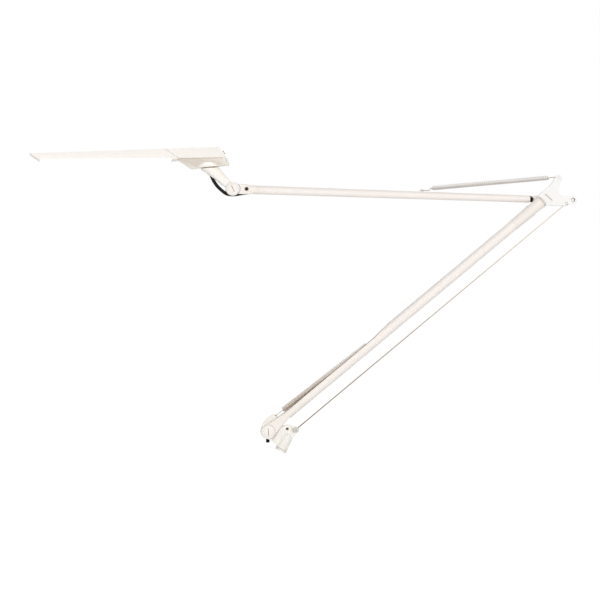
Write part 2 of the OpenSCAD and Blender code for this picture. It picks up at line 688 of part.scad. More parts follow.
// Flattened fitting between the neck's cheeks, round where it enters the tube
module upper_end() {
    eye_r = neck_eye_r;
    plug_r = upper_tube_neck_r - upper_tube_wall - 0.15;
    color("whitesmoke") on_upper() difference() {
        union() {
            cyl_y(eye_r, -flat_half, flat_half);
            slab(-flat_half, flat_half)
                polygon([[0, 1 - eye_r], [6, -3.8], [9.5, -5], [9.5, 7], [6.4, 7.1], [0, eye_r - 1]]);
            // Skirt and raised lip that hide the lead's way in
            slab(-flat_half, -lead_r - rest_gap)
                polygon([[7, -4], [7.4, -6.3], [8.2, -6.6], [15, -6.5], [21, -5.9], [25, -5]]);
            slab(-flat_half - 1.1, -lead_r - rest_gap)
                polygon([[10.4, -5.3], [10.2, -6.1], [10.8, -6.6], [15, -6.5], [21, -5.9], [25, -5.4], [25, -4.9],
                    [16, -5.2]]);
            hull() {
                translate([9, -flat_half, -5.2]) cube([1, 2 * flat_half, 12.2]);
                translate([9, -flat_half, -5.2]) cube([7, 2 * flat_half, 10.9]);
                cyl_x(upper_tube_neck_r, upper_tube_neck_r, neck_end_length - 1, neck_end_length,
                    $fn = hull_fn);
            }
            cyl_x(plug_r, plug_r, neck_end_length - 1, neck_end_length + 16);
        }
        cyl_y(2.5 + run_gap, -20, 20);
        translate([18.2, 0, 0.6]) cyl_y(1.5 + run_gap, -20, 20);
        translate([18.2, 0, 0.6]) cyl_y(2.4, -20, -flat_half - 0.2);
        rod_between([9, 0, -6.07], [28, 0, -2.45], lead_r + 0.15, 5, 0.6);
        rod_between([27, 0, -2.5], [50, 0, -2.3], lead_r + 0.4);
    }
}

module end_screw() {
    color("black") on_upper() translate([18.2, 0, 0.6]) difference() {
        union() {
            cyl_y(1.5, -flat_half - 0.2, flat_half);
            cyl_y(2.3, -flat_half - 1.2, -flat_half - 0.2);
        }
        translate([0, -flat_half - 0.5, 0]) rotate([90, 0, 0]) cylinder(r = 1.2, h = 3, $fn = 6);
    }
}

function tube_r_at(x) = upper_tube_neck_r + (upper_tube_elbow_r - upper_tube_neck_r) * (x - neck_end_length)
    / (upper_arm_length - elbow_end_length - neck_end_length);

// Band round the upper tube with an ear for the spring's hook
module spring_saddle() {
    half_w = 4.5;
    seat_r = tube_r_at(saddle_at - half_w) + 0.02;
    color("whitesmoke") on_upper() difference() {
        union() {
            cyl_x(seat_r + 0.8, seat_r + 0.8, saddle_at - half_w, saddle_at + half_w);
            slab(-saddle_half, saddle_half) {
                translate([saddle_at, saddle_up]) circle(r = saddle_ear_r);
                polygon([[saddle_at - half_w, seat_r], [saddle_at - 2.4, saddle_up + 0.8],
                    [saddle_at + 2.4, saddle_up + 0.8], [saddle_at + half_w, seat_r]]);
            }
        }
        cyl_x(seat_r, seat_r, saddle_at - half_w - 1, saddle_at + half_w + 1);
        translate([saddle_at, 0, saddle_up]) cyl_y(saddle_hole_r, -9, 9);
    }
}

// Tapered neck: a round top under the swivel, drawn in to two cheeks round the arm's end
module neck_arm() {
    top_t = 1.5;
    color("whitesmoke") difference() {
        union() {
            hull() {
                on_swivel() translate([0, 0, -washer_t - top_t]) {
                    translate([-2, 0, 0]) cylinder(r = 9.9, h = top_t, $fn = hull_fn);
                    translate([5.2, 0, 0]) cylinder(r = 6, h = top_t, $fn = hull_fn);
                }
                at(neck_pivot, upper_plane) rotate([0, -atan2(swivel_out, swivel_up), 0])
                    translate([-4.1, -fork_half, 6]) cube([8.8, 2 * fork_half, 2]);
            }
            at(neck_pivot, upper_plane) cyl_y(fork_r, -fork_half, fork_half);
        }
        at(neck_pivot, upper_plane) cyl_y(fork_r + 1, -flat_half - rest_gap, flat_half + rest_gap);
        at(neck_pivot, upper_plane) cyl_y(2.5 + run_gap, -20, 20);
        on_swivel() translate([-swivel_shift, 0, -8.5]) cylinder(r = 2 + run_gap, h = 20);
        rod_between(neck_lead_points[0], neck_lead_points[1], lead_r + rest_gap, 0.5, 2);
        rod_between(neck_lead_points[1], neck_lead_points[2], lead_r + rest_gap, 1, 3);
        // Room for the cap and the nut beside the cheeks
        for (s = [-1, 1]) at(neck_pivot, upper_plane) scale([1, s, 1])
            cyl_y(cap_r + rest_gap, fork_half, fork_half + 8);
    }
}

module neck_pivot_bolt() {
    color("silver") at(neck_pivot, upper_plane) cyl_y(2.5, -fork_half, fork_half);
}

module neck_pivot_cap() {
    color("white") at(neck_pivot, upper_plane - fork_half) slotted_cap(-24);
}

module neck_pivot_nut() {
    color("white") at(neck_pivot, upper_plane + fork_half) mirror([0, 1, 0]) cap(cap_r, 1.5, 1.2);
}

module neck_washers() {
    color("dimgray") at(neck_pivot, upper_plane) for (s = [-1, 1]) scale([1, s, 1]) difference() {
        cyl_y(neck_eye_r, flat_half + 0.05, flat_half + 0.25);
        cyl_y(2.5 + run_gap, 0, 20);
    }
}

// Black lead that loops from the neck under the pivot into the upper arm
neck_lead_offsets = [[-28.4, 19.3], [-27.6, 16], [-26.4, 12.4], [-24, 7.2], [-20.4, 2.2], [-15.7, -1.8],
    [-10.7, -5.1], [-6, -6.8], [0, -7.35], [5, -7.05], [11.8, -5.88], [19.8, -4.58], [27.9, -3.27], [33.9, -3.2],
    [47.9, -3.6]];
neck_lead_points = [for (q = neck_lead_offsets) at_y(neck_pivot + q, upper_plane)];
module neck_lead() {
    color("black") tube_along(route(neck_lead_points, 2), lead_r, 8);
}

module swivel_washer() {
    color("dimgray") on_swivel() translate([-swivel_shift, 0, -washer_t]) difference() {
        cylinder(r = 8.4, h = washer_t - face_gap / 2);
        translate([0, 0, -1]) cylinder(r = 2 + run_gap, h = 3);
    }
}

module swivel_stud() {
    color("silver") on_swivel() translate([-swivel_shift, 0, -8]) cylinder(r = 2, h = 16);
}

// Cross-section of the head, looking along it: flat top, upright sides, keel below
module head_section(w, inset = 0) {
    half = w / 2 - inset;
    polygon([[-half, bar_low], [-half, 60], [half, 60], [half, bar_low],
        [keel_half, -keel_drop + inset], [-keel_half, -keel_drop + inset]]);
}

// Keeps what lies inside the head's section and plan, given a side view
module head_solid(inset = 0) {
    intersection() {
        slab(-40, 40) children();
        translate([-300, 0, 0]) rotate([90, 0, 90]) linear_extrude(400) head_section(head_w, inset);
        linear_extrude(200, center = true) polygon([[-tip_reach - 5, -tip_w / 2 + inset],
            [-60, -head_w / 2 + inset], [60, -head_w / 2 + inset],
            [60, head_w / 2 - inset], [-60, head_w / 2 - inset], [-tip_reach - 5, tip_w / 2 - inset]]);
    }
}

seam_top = [-58.8, 23.2];
seam_low = [-41.1, bar_low];
tip_high = [-tip_reach - 2.6, tip_top];
tip_low = [-tip_reach + 10.3, bar_low];
rear_high = [rear_reach - 16.1, rear_top];
rear_bend = [rear_reach - 8.1, 15.4];
rear_low = [rear_reach - 2.6, 1.9];
plate_t = 2.4;
lens_x0 = -tip_reach + 16;
lens_x1 = -50;
tip_step = 2.5;
pocket = 6.2;
strip_t = 1.2;
led_t = 0.8;

// Extruded bar that holds the light strip, open along its underside
module light_bar() {
    color("whitesmoke") on_head() difference() {
        head_solid() polygon([tip_high + [tip_step, 0.05], seam_top, seam_low, tip_low + [tip_step, 0]]);
        translate([lens_x0, -diffuser_w / 2 - run_gap, bar_low - 5])
            cube([lens_x1 - lens_x0, diffuser_w + 2 * run_gap, 5 + pocket]);
        translate([lens_x1 - 1, -5, bar_low + 2.5]) cube([12, 10, 3.7]);
        at_screws() cylinder(r = screw_r + run_gap, h = 40, center = true);
        at_screws() translate([0, 0, -1]) cylinder(r = 2.25, h = 2.25);
    }
}

module tip_cap() {
    color("whitesmoke") on_head() head_solid()
        polygon([tip_high, tip_high + [tip_step, 0.05], tip_low + [tip_step, 0], tip_low]);
}

module led_board() {
    strip_w = diffuser_w - 2;
    color("seagreen") on_head() translate([lens_x0 + 1, -strip_w / 2, bar_low + pocket - strip_t])
        cube([lens_x1 - lens_x0 - 2, strip_w, strip_t]);
}

module leds() {
    count = 24;
    size = 3;
    pitch = (lens_x1 - lens_x0 - 12) / (count - 1);
    color("khaki") on_head() for (i = [0:count - 1])
        translate([lens_x0 + 6 + i * pitch - size / 2, -size / 2, bar_low + pocket - strip_t - led_t])
            cube([size, size, led_t]);
}

// Milky strip, rounded along its two long edges
module diffuser() {
    t = diffuser_proud + 2.2;
    half = diffuser_w / 2;
    color("white") on_head() translate([lens_x0 + run_gap, 0, bar_low - diffuser_proud]) rotate([90, 0, 90])
        linear_extrude(lens_x1 - lens_x0 - 2 * run_gap) polygon(concat(
            [[-half, t]], arc([-half + 1, 1], 1, 180, 270, 4), arc([half - 1, 1], 1, 270, 360, 4), [[half, t]]));
}

board_z = bar_low + 0.4;
screw_x = -47;
screw_y = 15;
screw_r = 1.2;
function rear_inner(p) = p + [-plate_t, 0];

// Upper shell behind the diagonal seam
module rear_cover() {
    seam_gap = 0.5;
    top_z = rear_top - shell_t;
    color("beige") on_head() difference() {
        head_solid() polygon([seam_top + [seam_gap, 0], rear_inner(rear_high), rear_inner(rear_bend),
            [rear_bend[0] - plate_t + 1.6, bar_low], seam_low + [seam_gap, 0]]);
        head_solid(shell_t) polygon([[seam_top[0] + 6, seam_top[1] - shell_t],
            [rear_high[0] - plate_t, top_z],
            [rear_bend[0] + 3, 15.4], [rear_bend[0] + 3, bar_low - 1], [seam_low[0] + 3, bar_low - 1]]);
        at_screws() cylinder(r = screw_r + run_gap, h = 40, center = true);
    }
    // Bosses for the two screws that clamp the bar's end
    color("beige") on_head() difference() {
        intersection() {
            head_solid() polygon([seam_top + [seam_gap, 0], [rear_high[0] - 30, rear_top - 1],
                [rear_high[0] - 30, bar_low], seam_low + [seam_gap, 0]]);
            at_screws() cylinder(r = 3.2, h = 40, center = true);
        }
        at_screws() cylinder(r = screw_r + run_gap, h = 40, center = true);
    }
}
module at_screws() { for (s = [-1, 1]) translate([screw_x, s * screw_y, bar_low]) children(); }

// Frame of the swivel's axis, seen from the head
module boss_axis() {
    rotate([0, head_slope - swivel_lean, 0]) translate([-swivel_shift, 0, 0]) children();
}

// Lower shell with in-sloping sides and the round boss of the swivel
module rear_housing() {
    rear_x = rear_low[0] - plate_t;
    color("tan") on_head() difference() {
        union() {
            difference() {
                head_solid() polygon([seam_low + [0.5, -face_gap / 2],
                    [rear_bend[0] - plate_t + 1.6, bar_low - face_gap / 2],
                    [rear_x, rear_low[1]], [-24.2, -keel_drop]]);
                head_solid(shell_t) polygon([seam_low + [4, 1], [rear_bend[0] + 4, bar_low + 1],
                    [rear_x + 3, rear_low[1] + shell_t], [-23, -keel_drop + shell_t]]);
            }
            boss_axis() cylinder(r = boss_r, h = 7.5);
            for (x = [-12.6, 7.4]) for (y = [-9, 9]) translate([x, y, 4]) cylinder(r = 2, h = board_z - 4);
        }
        boss_axis() translate([0, 0, -20]) cylinder(r = boss_r, h = 20);
        boss_axis() translate([0, 0, -1]) cylinder(r = 2 + run_gap, h = 12);
    }
}

// Slanted plate that closes the head's rear
module end_plate() {
    color("ivory") on_head() difference() {
        head_solid() polygon([rear_high, rear_bend, rear_low,
            rear_inner(rear_low), rear_inner(rear_bend), rear_inner(rear_high)]);
        at_button() translate([0, 0, -8]) cylinder(r = button_r + run_gap, h = 16);
    }
}

// Frame of the power button: +Z out of the slanted face
button_face = (rear_high + rear_bend) / 2 + [1, -1.15];
button_tilt = 90 - atan2(rear_bend[0] - rear_high[0], rear_high[1] - rear_bend[1]);
module at_button() { at(button_face) rotate([0, button_tilt, 0]) children(); }

module power_button() {
    chamfer = 0.4;
    color("dimgray") on_head() at_button() rotate_extrude()
        polygon([[0, -3.2], [button_r, -3.2], [button_r, button_proud - chamfer],
            [button_r - chamfer - 0.1, button_proud], [0, button_proud]]);
}

module control_board() {
    color("seagreen") on_head() translate([-18.6, -13, board_z]) {
        cube([32, 26, 1.4]);
        translate([4, 4, 1.4]) cube([9, 7, 5]);
        translate([18, 14, 1.4]) cube([6, 6, 4]);
    }
}

// Two screws up through the bar's end into the cover
module head_screws() {
    color("silver") on_head() at_screws() {
        cylinder(r = screw_r, h = 9);
        difference() {
            cylinder(r = 2.2, h = 1.2);
            translate([-0.3, -3, -1]) cube([0.6, 6, 1.6]);
        }
    }
}

socket_bush();
base_bracket();
lower_pivot_bolt();
lower_pivot_cap();
lower_pivot_nut();
lower_pivot_washers();
rod_lower_pin();
cable_gland();
lower_foot();
lower_tube();
foot_rivets();
lower_spring_pin();
lower_lead();
elbow_sleeve();
elbow_pin();
lower_spring();
parallel_rod();
elbow_plate();
rod_upper_pin();
spring_post();
upper_pivot_bolt();
elbow_washer();
elbow_lead_low();
elbow_lead_high();
upper_root();
upper_tube();
upper_lead();
upper_end();
end_screw();
spring_saddle();
upper_spring();
neck_arm();
neck_pivot_bolt();
neck_pivot_cap();
neck_pivot_nut();
neck_washers();
neck_lead();
swivel_washer();
swivel_stud();
light_bar();
tip_cap();
led_board();
leds();
diffuser();
rear_cover();
rear_housing();
end_plate();
control_board();
head_screws();
power_button();
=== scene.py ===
"""Looks of the spring-balanced lamp: painted castings, tubes, wound springs, leads and the lit bar."""
import json
import math

import bmesh
import bpy
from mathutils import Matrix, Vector
from mathutils.bvhtree import BVHTree

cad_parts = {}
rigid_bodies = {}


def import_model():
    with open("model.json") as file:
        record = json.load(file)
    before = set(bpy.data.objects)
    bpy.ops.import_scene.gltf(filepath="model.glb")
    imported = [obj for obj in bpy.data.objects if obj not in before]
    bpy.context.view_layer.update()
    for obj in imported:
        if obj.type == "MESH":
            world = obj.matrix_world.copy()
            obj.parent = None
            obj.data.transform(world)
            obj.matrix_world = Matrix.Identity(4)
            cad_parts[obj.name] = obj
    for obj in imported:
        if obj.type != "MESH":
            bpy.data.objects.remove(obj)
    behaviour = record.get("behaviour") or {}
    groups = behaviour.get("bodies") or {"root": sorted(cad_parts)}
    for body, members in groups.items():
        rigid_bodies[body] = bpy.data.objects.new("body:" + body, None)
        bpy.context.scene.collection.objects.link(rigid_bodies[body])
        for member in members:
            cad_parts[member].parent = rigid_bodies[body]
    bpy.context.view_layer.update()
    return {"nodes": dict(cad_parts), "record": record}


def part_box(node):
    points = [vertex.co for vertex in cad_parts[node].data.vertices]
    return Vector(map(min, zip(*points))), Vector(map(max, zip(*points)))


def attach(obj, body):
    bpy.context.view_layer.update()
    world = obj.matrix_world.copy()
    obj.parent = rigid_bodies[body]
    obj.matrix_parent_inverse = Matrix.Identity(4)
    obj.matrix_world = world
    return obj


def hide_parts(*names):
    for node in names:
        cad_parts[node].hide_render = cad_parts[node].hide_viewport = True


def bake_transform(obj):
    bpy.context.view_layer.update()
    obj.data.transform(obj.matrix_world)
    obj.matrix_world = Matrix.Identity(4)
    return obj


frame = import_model()
BODY = {n: b for b, group in frame["record"]["behaviour"]["bodies"].items() for n in group}
SLOT = {s["node"]: s["material_slot"] for s in frame["record"]["subparts"]}
MM = 0.001
# Colour of the painted shade in seams and holes
CREVICE_SHADE_COLOUR = (0.30, 0.22, 0.16)


def shader(name, color, rough=0.4, metallic=0.0, mottle=0.015, mottle_size=60.0, grain=0.000004,
           grain_size=1500.0, rough_var=0.05, emission=None, crevice_shade=0.8, along=None, shine=0.5):
    """Principled material: soft colour variation, uneven gloss, fine surface grain and painted shade in seams
    and holes.

    along = (point, direction, length, other colour) changes the colour gradually along the piece, as painted
    shade and reflection."""
    m = bpy.data.materials.new(name)
    m.use_nodes = True
    nt = m.node_tree
    b = nt.nodes["Principled BSDF"]
    b.inputs["Metallic"].default_value = metallic
    b.inputs["Specular IOR Level"].default_value = shine
    where = nt.nodes.new("ShaderNodeTexCoord").outputs["Object"]
    cloud = nt.nodes.new("ShaderNodeTexNoise")
    cloud.inputs["Scale"].default_value = mottle_size
    cloud.inputs["Detail"].default_value = 4.0
    nt.links.new(where, cloud.inputs["Vector"])
    tint = nt.nodes.new("ShaderNodeValToRGB")
    tint.color_ramp.elements[0].position = 0.3
    tint.color_ramp.elements[0].color = (*[c * (1 - mottle) for c in color], 1)
    tint.color_ramp.elements[1].position = 0.7
    tint.color_ramp.elements[1].color = (*color[:2], color[2] * (1 - mottle * 0.4), 1)
    nt.links.new(cloud.outputs["Fac"], tint.inputs["Fac"])
    shown = tint.outputs["Color"]
    if along:
        shown = fade_along(nt, where, shown, *along)
    # Painted shade: the colour darkens towards the seam shade colour where the stored crevice value says the
    # surface is closed in
    closed = nt.nodes.new("ShaderNodeAttribute")
    closed.attribute_name = "crevice"
    amount = nt.nodes.new("ShaderNodeMapRange")
    amount.inputs["From Min"].default_value = 0.12
    amount.inputs["From Max"].default_value = 0.8
    amount.inputs["To Max"].default_value = crevice_shade
    nt.links.new(closed.outputs["Fac"], amount.inputs["Value"])
    shade_mix = nt.nodes.new("ShaderNodeMix")
    shade_mix.data_type = "RGBA"
    shade_mix.inputs[7].default_value = (*CREVICE_SHADE_COLOUR, 1)
    nt.links.new(amount.outputs["Result"], shade_mix.inputs[0])
    nt.links.new(shown, shade_mix.inputs[6])
    nt.links.new(shade_mix.outputs[2], b.inputs["Base Color"])
    gloss = nt.nodes.new("ShaderNodeMapRange")
    gloss.inputs["To Min"].default_value = rough - rough_var
    gloss.inputs["To Max"].default_value = rough + rough_var
    nt.links.new(cloud.outputs["Fac"], gloss.inputs["Value"])
    nt.links.new(gloss.outputs["Result"], b.inputs["Roughness"])
    fine = nt.nodes.new("ShaderNodeTexNoise")
    fine.inputs["Scale"].default_value = grain_size
    fine.inputs["Detail"].default_value = 3.0
    nt.links.new(where, fine.inputs["Vector"])
    bump = nt.nodes.new("ShaderNodeBump")
    bump.inputs["Strength"].default_value = 1.0
    bump.inputs["Distance"].default_value = grain
    nt.links.new(fine.outputs["Fac"], bump.inputs["Height"])
    nt.links.new(bump.outputs["Normal"], b.inputs["Normal"])
    if emission:
        b.inputs["Emission Color"].default_value = (*emission[:3], 1)
        b.inputs["Emission Strength"].default_value = emission[3]
    return m


def fade_along(nt, where, near, point, direction, length, far):
    """Mixes near into the colour far over the length of a piece: painted shade and reflection."""
    turn = nt.nodes.new("ShaderNodeVectorMath")
    turn.operation = "DOT_PRODUCT"
    turn.inputs[1].default_value = direction
    nt.links.new(where, turn.inputs[0])
    part = nt.nodes.new("ShaderNodeMapRange")
    start = sum(p * d for p, d in zip(point, direction))
    part.inputs["From Min"].default_value = start
    part.inputs["From Max"].default_value = start + length
    nt.links.new(turn.outputs["Value"], part.inputs["Value"])
    mix = nt.nodes.new("ShaderNodeMix")
    mix.data_type = "RGBA"
    mix.inputs[7].default_value = (*far, 1)
    nt.links.new(part.outputs["Result"], mix.inputs[0])
    nt.links.new(near, mix.inputs[6])
    return mix.outputs[2]


def polar(r, degrees):
    a = math.radians(degrees)
    return Vector((r * math.cos(a), 0, r * math.sin(a)))


# Pivots of the mechanism at rest, in metres, as in the part's source
LOWER = Vector((-0.0163, 0, 0.0252))
LOWER_SLOPE = 39.6
LOWER_LENGTH = 0.4633
# Middle of the upper arm, the neck and the head across the picture
ARM_Y = 0.0135
ELBOW = LOWER + polar(LOWER_LENGTH, LOWER_SLOPE)
UPPER = ELBOW + Vector((0.0164, ARM_Y, 0.0081))
UPPER_SLOPE = -1.65
UPPER_LENGTH = 0.4187
NECK = UPPER - polar(UPPER_LENGTH, UPPER_SLOPE)
SWIVEL = NECK + Vector((-0.0293, 0, 0.0283))
HEAD_SLOPE = 1.1
BOSS_LEAN = 5.2
LUG = LOWER + Vector((0.0087, 0, 0.0196))
POST = ELBOW + Vector((0.026, ARM_Y, 0.0359))
# Rod hole, from the lower pivot on the bracket and from the elbow on the plate
ROD_HOLE = Vector((0.0363, 0, 0.0023))
ROD_LOW = LOWER + ROD_HOLE
# Lower tube as shown here: 1 mm lower and 0.2 mm slimmer than in the part's source
TUBE_OFFSET = 0.0015
TUBE_R = 0.0068
# Radii of the leads, in the lower arm and at the elbow, and at the neck
THIN_LEAD_R = 0.0017
NECK_LEAD_R = 0.0022


def turned(origin, slope, x, z, y=0.0):
    """Point x along and z across a line that leaves origin at the given slope."""
    s = math.radians(slope)
    return origin + Vector((x * math.cos(s) - z * math.sin(s), y, x * math.sin(s) + z * math.cos(s)))


def along_lower(x, z=0.0, y=0.0):
    return turned(LOWER, LOWER_SLOPE, x, z, y)


def along_upper(x, z=0.0, y=0.0):
    return turned(NECK, UPPER_SLOPE, x, z, y)


def on_head(x, z, y=0.0):
    return turned(SWIVEL, HEAD_SLOPE, x * MM, z * MM, y * MM)


M = {
    "bush": shader("bush", (0.80, 0.78, 0.74), rough=0.5),
    "casting_white": shader("casting_white", (0.85, 0.805, 0.77), rough=0.5, shine=0.3),
    "bracket_grey": shader("bracket_grey", (0.845, 0.825, 0.785), rough=0.5, shine=0.3),
    "neck_grey": shader("neck_grey", (0.89, 0.865, 0.83), rough=0.5, shine=0.3),
    "painted_tube": shader("painted_tube", (0.88, 0.83, 0.80), rough=0.45, shine=0.35, grain=0.000002),
    "plate_white": shader("plate_white", (0.87, 0.865, 0.855), rough=0.45, shine=0.3, crevice_shade=0.75),
    "cap_plastic": shader("cap_plastic", (0.875, 0.84, 0.81), rough=0.45, shine=0.35),
    "steel": shader("steel", (0.62, 0.61, 0.58), rough=0.3, metallic=1.0, mottle=0.12, grain_size=2500),
    "eyelet_shade": shader("eyelet_shade", (0.36, 0.34, 0.32), rough=0.35, metallic=0.8, mottle=0.12, grain_size=2500),
    "spring_steel": shader("spring_steel", (0.36, 0.27, 0.21), rough=0.34, metallic=0.9, mottle=0.3,
                           mottle_size=220, rough_var=0.08, crevice_shade=0.5),
    "spring_light": shader("spring_light", (0.56, 0.45, 0.37), rough=0.4, metallic=0.4, mottle=0.3,
                           mottle_size=220),
    "spring_dark": shader("spring_dark", (0.34, 0.235, 0.165), rough=0.45, mottle=0.3, mottle_size=220,
                          shine=0.3),
    "pin_grey": shader("pin_grey", (0.60, 0.60, 0.57), rough=0.45, mottle=0.1),
    # Painted shade and reflection: the rod goes from dark brown at the bracket to pale brown at the elbow
    "rod_steel": shader("rod_steel", (0.21, 0.15, 0.115), rough=0.35, metallic=0.7, mottle=0.25,
                        mottle_size=90,
                        along=(tuple(ROD_LOW), tuple(polar(1, LOWER_SLOPE)), 0.42, (0.62, 0.53, 0.44))),
    "fibre": shader("fibre", (0.05, 0.045, 0.04), rough=0.8, grain=0.00002),
    # Painted shade: dark brown for the shade in the gaps at the sleeve's end and round the swivel washer
    "gap_shade_brown": shader("gap_shade_brown", (0.20, 0.135, 0.10), rough=0.6, mottle=0.15),
    "hole_shade": shader("hole_shade", (0.16, 0.13, 0.115), rough=0.7, mottle=0.2),
    # Painted shade: tan lines for the shade in grooves and slots
    "groove_shade_tan": shader("groove_shade_tan", (0.50, 0.41, 0.34), rough=0.6, mottle=0.1),
    # Near black, for painted shade inside the upper tube's open end
    "black_rubber": shader("black_rubber", (0.005, 0.0045, 0.004), rough=0.7, mottle=0.2, shine=0.08),
    "black_lead": shader("black_lead", (0.008, 0.0072, 0.0065), rough=0.62, grain=0.000006, mottle=0.2,
                         shine=0.14),
    "black_screw": shader("black_screw", (0.02, 0.017, 0.015), rough=0.30, metallic=0.6, mottle=0.2),
    "bar_white": shader("bar_white", (0.87, 0.835, 0.81), rough=0.5, shine=0.3),
    "cover_cream": shader("cover_cream", (0.845, 0.825, 0.785), rough=0.5, shine=0.35, grain=0.00001,
                          grain_size=1300),
    "boss_white": shader("boss_white", (0.89, 0.875, 0.855), rough=0.4, crevice_shade=0.5),
    "housing_beige": shader("housing_beige", (0.97, 0.91, 0.84), rough=0.55, grain=0.000012, grain_size=1300,
                            mottle=0.03, mottle_size=420, crevice_shade=0.3),
    "diffuser": shader("diffuser", (0.96, 0.96, 0.96), rough=0.3, emission=(1.0, 0.99, 0.975, 1.2), crevice_shade=0.0),
    "board": shader("board", (0.10, 0.30, 0.16), rough=0.45, mottle=0.1),
    "led_chip": shader("led_chip", (0.85, 0.70, 0.22), rough=0.35, mottle=0.1,
                       emission=(1.0, 0.93, 0.8, 1.0)),
    "button_grey": shader("button_grey", (0.10, 0.09, 0.08), rough=0.5),
}
LOOK = {
    # The swivel washer is painted dark brown as the shade in the gap between neck and head
    "swivel_washer": "gap_shade_brown",
    "rod_lower_pin": "pin_grey",
    "spring_post": "plate_white",
    "base_bracket": "bracket_grey",
    "neck_arm": "neck_grey",
    "parallel_rod": "rod_steel",
}
castings = []


def finish_mesh(o, angle=35.0):
    """Smooth faces with hard edges kept where the surface turns sharply."""
    bm = bmesh.new()
    bm.from_mesh(o.data)
    limit = math.radians(angle)
    for f in bm.faces:
        f.smooth = True
    for e in bm.edges:
        e.smooth = not (len(e.link_faces) == 2 and e.calc_face_angle(0) > limit)
    bm.to_mesh(o.data)
    bm.free()


def piece(name, mesh, body, slot, nodes=(), look=None):
    """Shows a mesh as a piece that rides on a body and stands for the given CAD nodes."""
    o = bpy.data.objects.new(name, mesh)
    bpy.context.scene.collection.objects.link(o)
    mesh.materials.clear()
    mesh.materials.append(M[look or slot])
    if body:
        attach(o, body)
    if nodes:
        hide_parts(*nodes)
    return o


def evaluated(mesh, *modifiers):
    """The mesh after modifiers, each given as (kind, settings)."""
    o = bpy.data.objects.new("work", mesh)
    bpy.context.scene.collection.objects.link(o)
    for kind, settings in modifiers:
        m = o.modifiers.new(kind, kind)
        for key, value in settings.items():
            setattr(m, key, value)
    dg = bpy.context.evaluated_depsgraph_get()
    made = bpy.data.meshes.new_from_object(o.evaluated_get(dg))
    bpy.data.objects.remove(o)
    return made


def copy_of(*nodes):
    """One mesh with the given CAD nodes' surfaces, welded."""
    bm = bmesh.new()
    for n in nodes:
        bm.from_mesh(frame["nodes"][n].data)
    bmesh.ops.remove_doubles(bm, verts=bm.verts, dist=2e-6)
    return as_mesh(bm, "+".join(nodes))


def as_mesh(bm, name):
    mesh = bpy.data.meshes.new(name)
    bm.to_mesh(mesh)
    bm.free()
    return mesh


def cut_off(mesh, at, normal):
    """What lies on the side of a plane that its normal points to, closed again."""
    bm = bmesh.new()
    bm.from_mesh(mesh)
    parts = bm.verts[:] + bm.edges[:] + bm.faces[:]
    cut = bmesh.ops.bisect_plane(bm, geom=parts, plane_co=at, plane_no=normal, clear_inner=True, dist=1e-7)
    rim = [e for e in cut["geom_cut"] if isinstance(e, bmesh.types.BMEdge)]
    bmesh.ops.contextual_create(bm, geom=rim)
    bmesh.ops.recalc_face_normals(bm, faces=bm.faces)
    return as_mesh(bm, mesh.name + "_cut")


def joined(*meshes):
    bm = bmesh.new()
    for m in meshes:
        bm.from_mesh(m)
    return as_mesh(bm, "joined")


def moulded(mesh, voxel, rounds, more=None, more_rounds=0):
    """The form with softened edges and filled corners; more tells which points are eased further."""
    mesh = evaluated(mesh, ("REMESH", {"mode": "VOXEL", "voxel_size": voxel * MM}))
    bm = bmesh.new()
    bm.from_mesh(mesh)
    axes = {"use_axis_x": True, "use_axis_y": True, "use_axis_z": True}
    for _ in range(rounds):
        bmesh.ops.smooth_vert(bm, verts=bm.verts, factor=0.5, **axes)
    if more:
        some = [v for v in bm.verts if more(v.co)]
        for _ in range(more_rounds):
            bmesh.ops.smooth_vert(bm, verts=some, factor=0.5, **axes)
    return as_mesh(bm, "moulded")


def thinned(mesh, ratio):
    """The mesh with fewer faces, all of them smooth."""
    mesh = evaluated(mesh, ("DECIMATE", {"ratio": ratio}))
    for p in mesh.polygons:
        p.use_smooth = True
    return mesh


def cast(name, nodes, voxel=0.35, rounds=4, ratio=0.4, mesh=None):
    """A casting or moulding in place of the nodes."""
    mesh = thinned(moulded(mesh or copy_of(*nodes), voxel, rounds), ratio)
    mesh.name = name
    o = piece(name, mesh, BODY[nodes[0]], SLOT[nodes[0]], nodes, LOOK.get(nodes[0]))
    castings.append(o)
    return o


def bevelled(name, nodes, width=0.3, angle=30.0, mesh=None, slot=None, look=None):
    """The nodes' form with its sharp edges broken."""
    bm = bmesh.new()
    bm.from_mesh(mesh or copy_of(*nodes))
    bmesh.ops.dissolve_limit(bm, angle_limit=math.radians(1.0), verts=bm.verts, edges=bm.edges)
    settings = {"width": width * MM, "segments": 2, "limit_method": "ANGLE",
                "angle_limit": math.radians(angle)}
    mesh = evaluated(as_mesh(bm, name), ("BEVEL", settings))
    mesh.name = name
    o = piece(name, mesh, BODY[nodes[0]], slot or SLOT[nodes[0]], nodes, look or LOOK.get(nodes[0]))
    finish_mesh(o, 32)
    return o


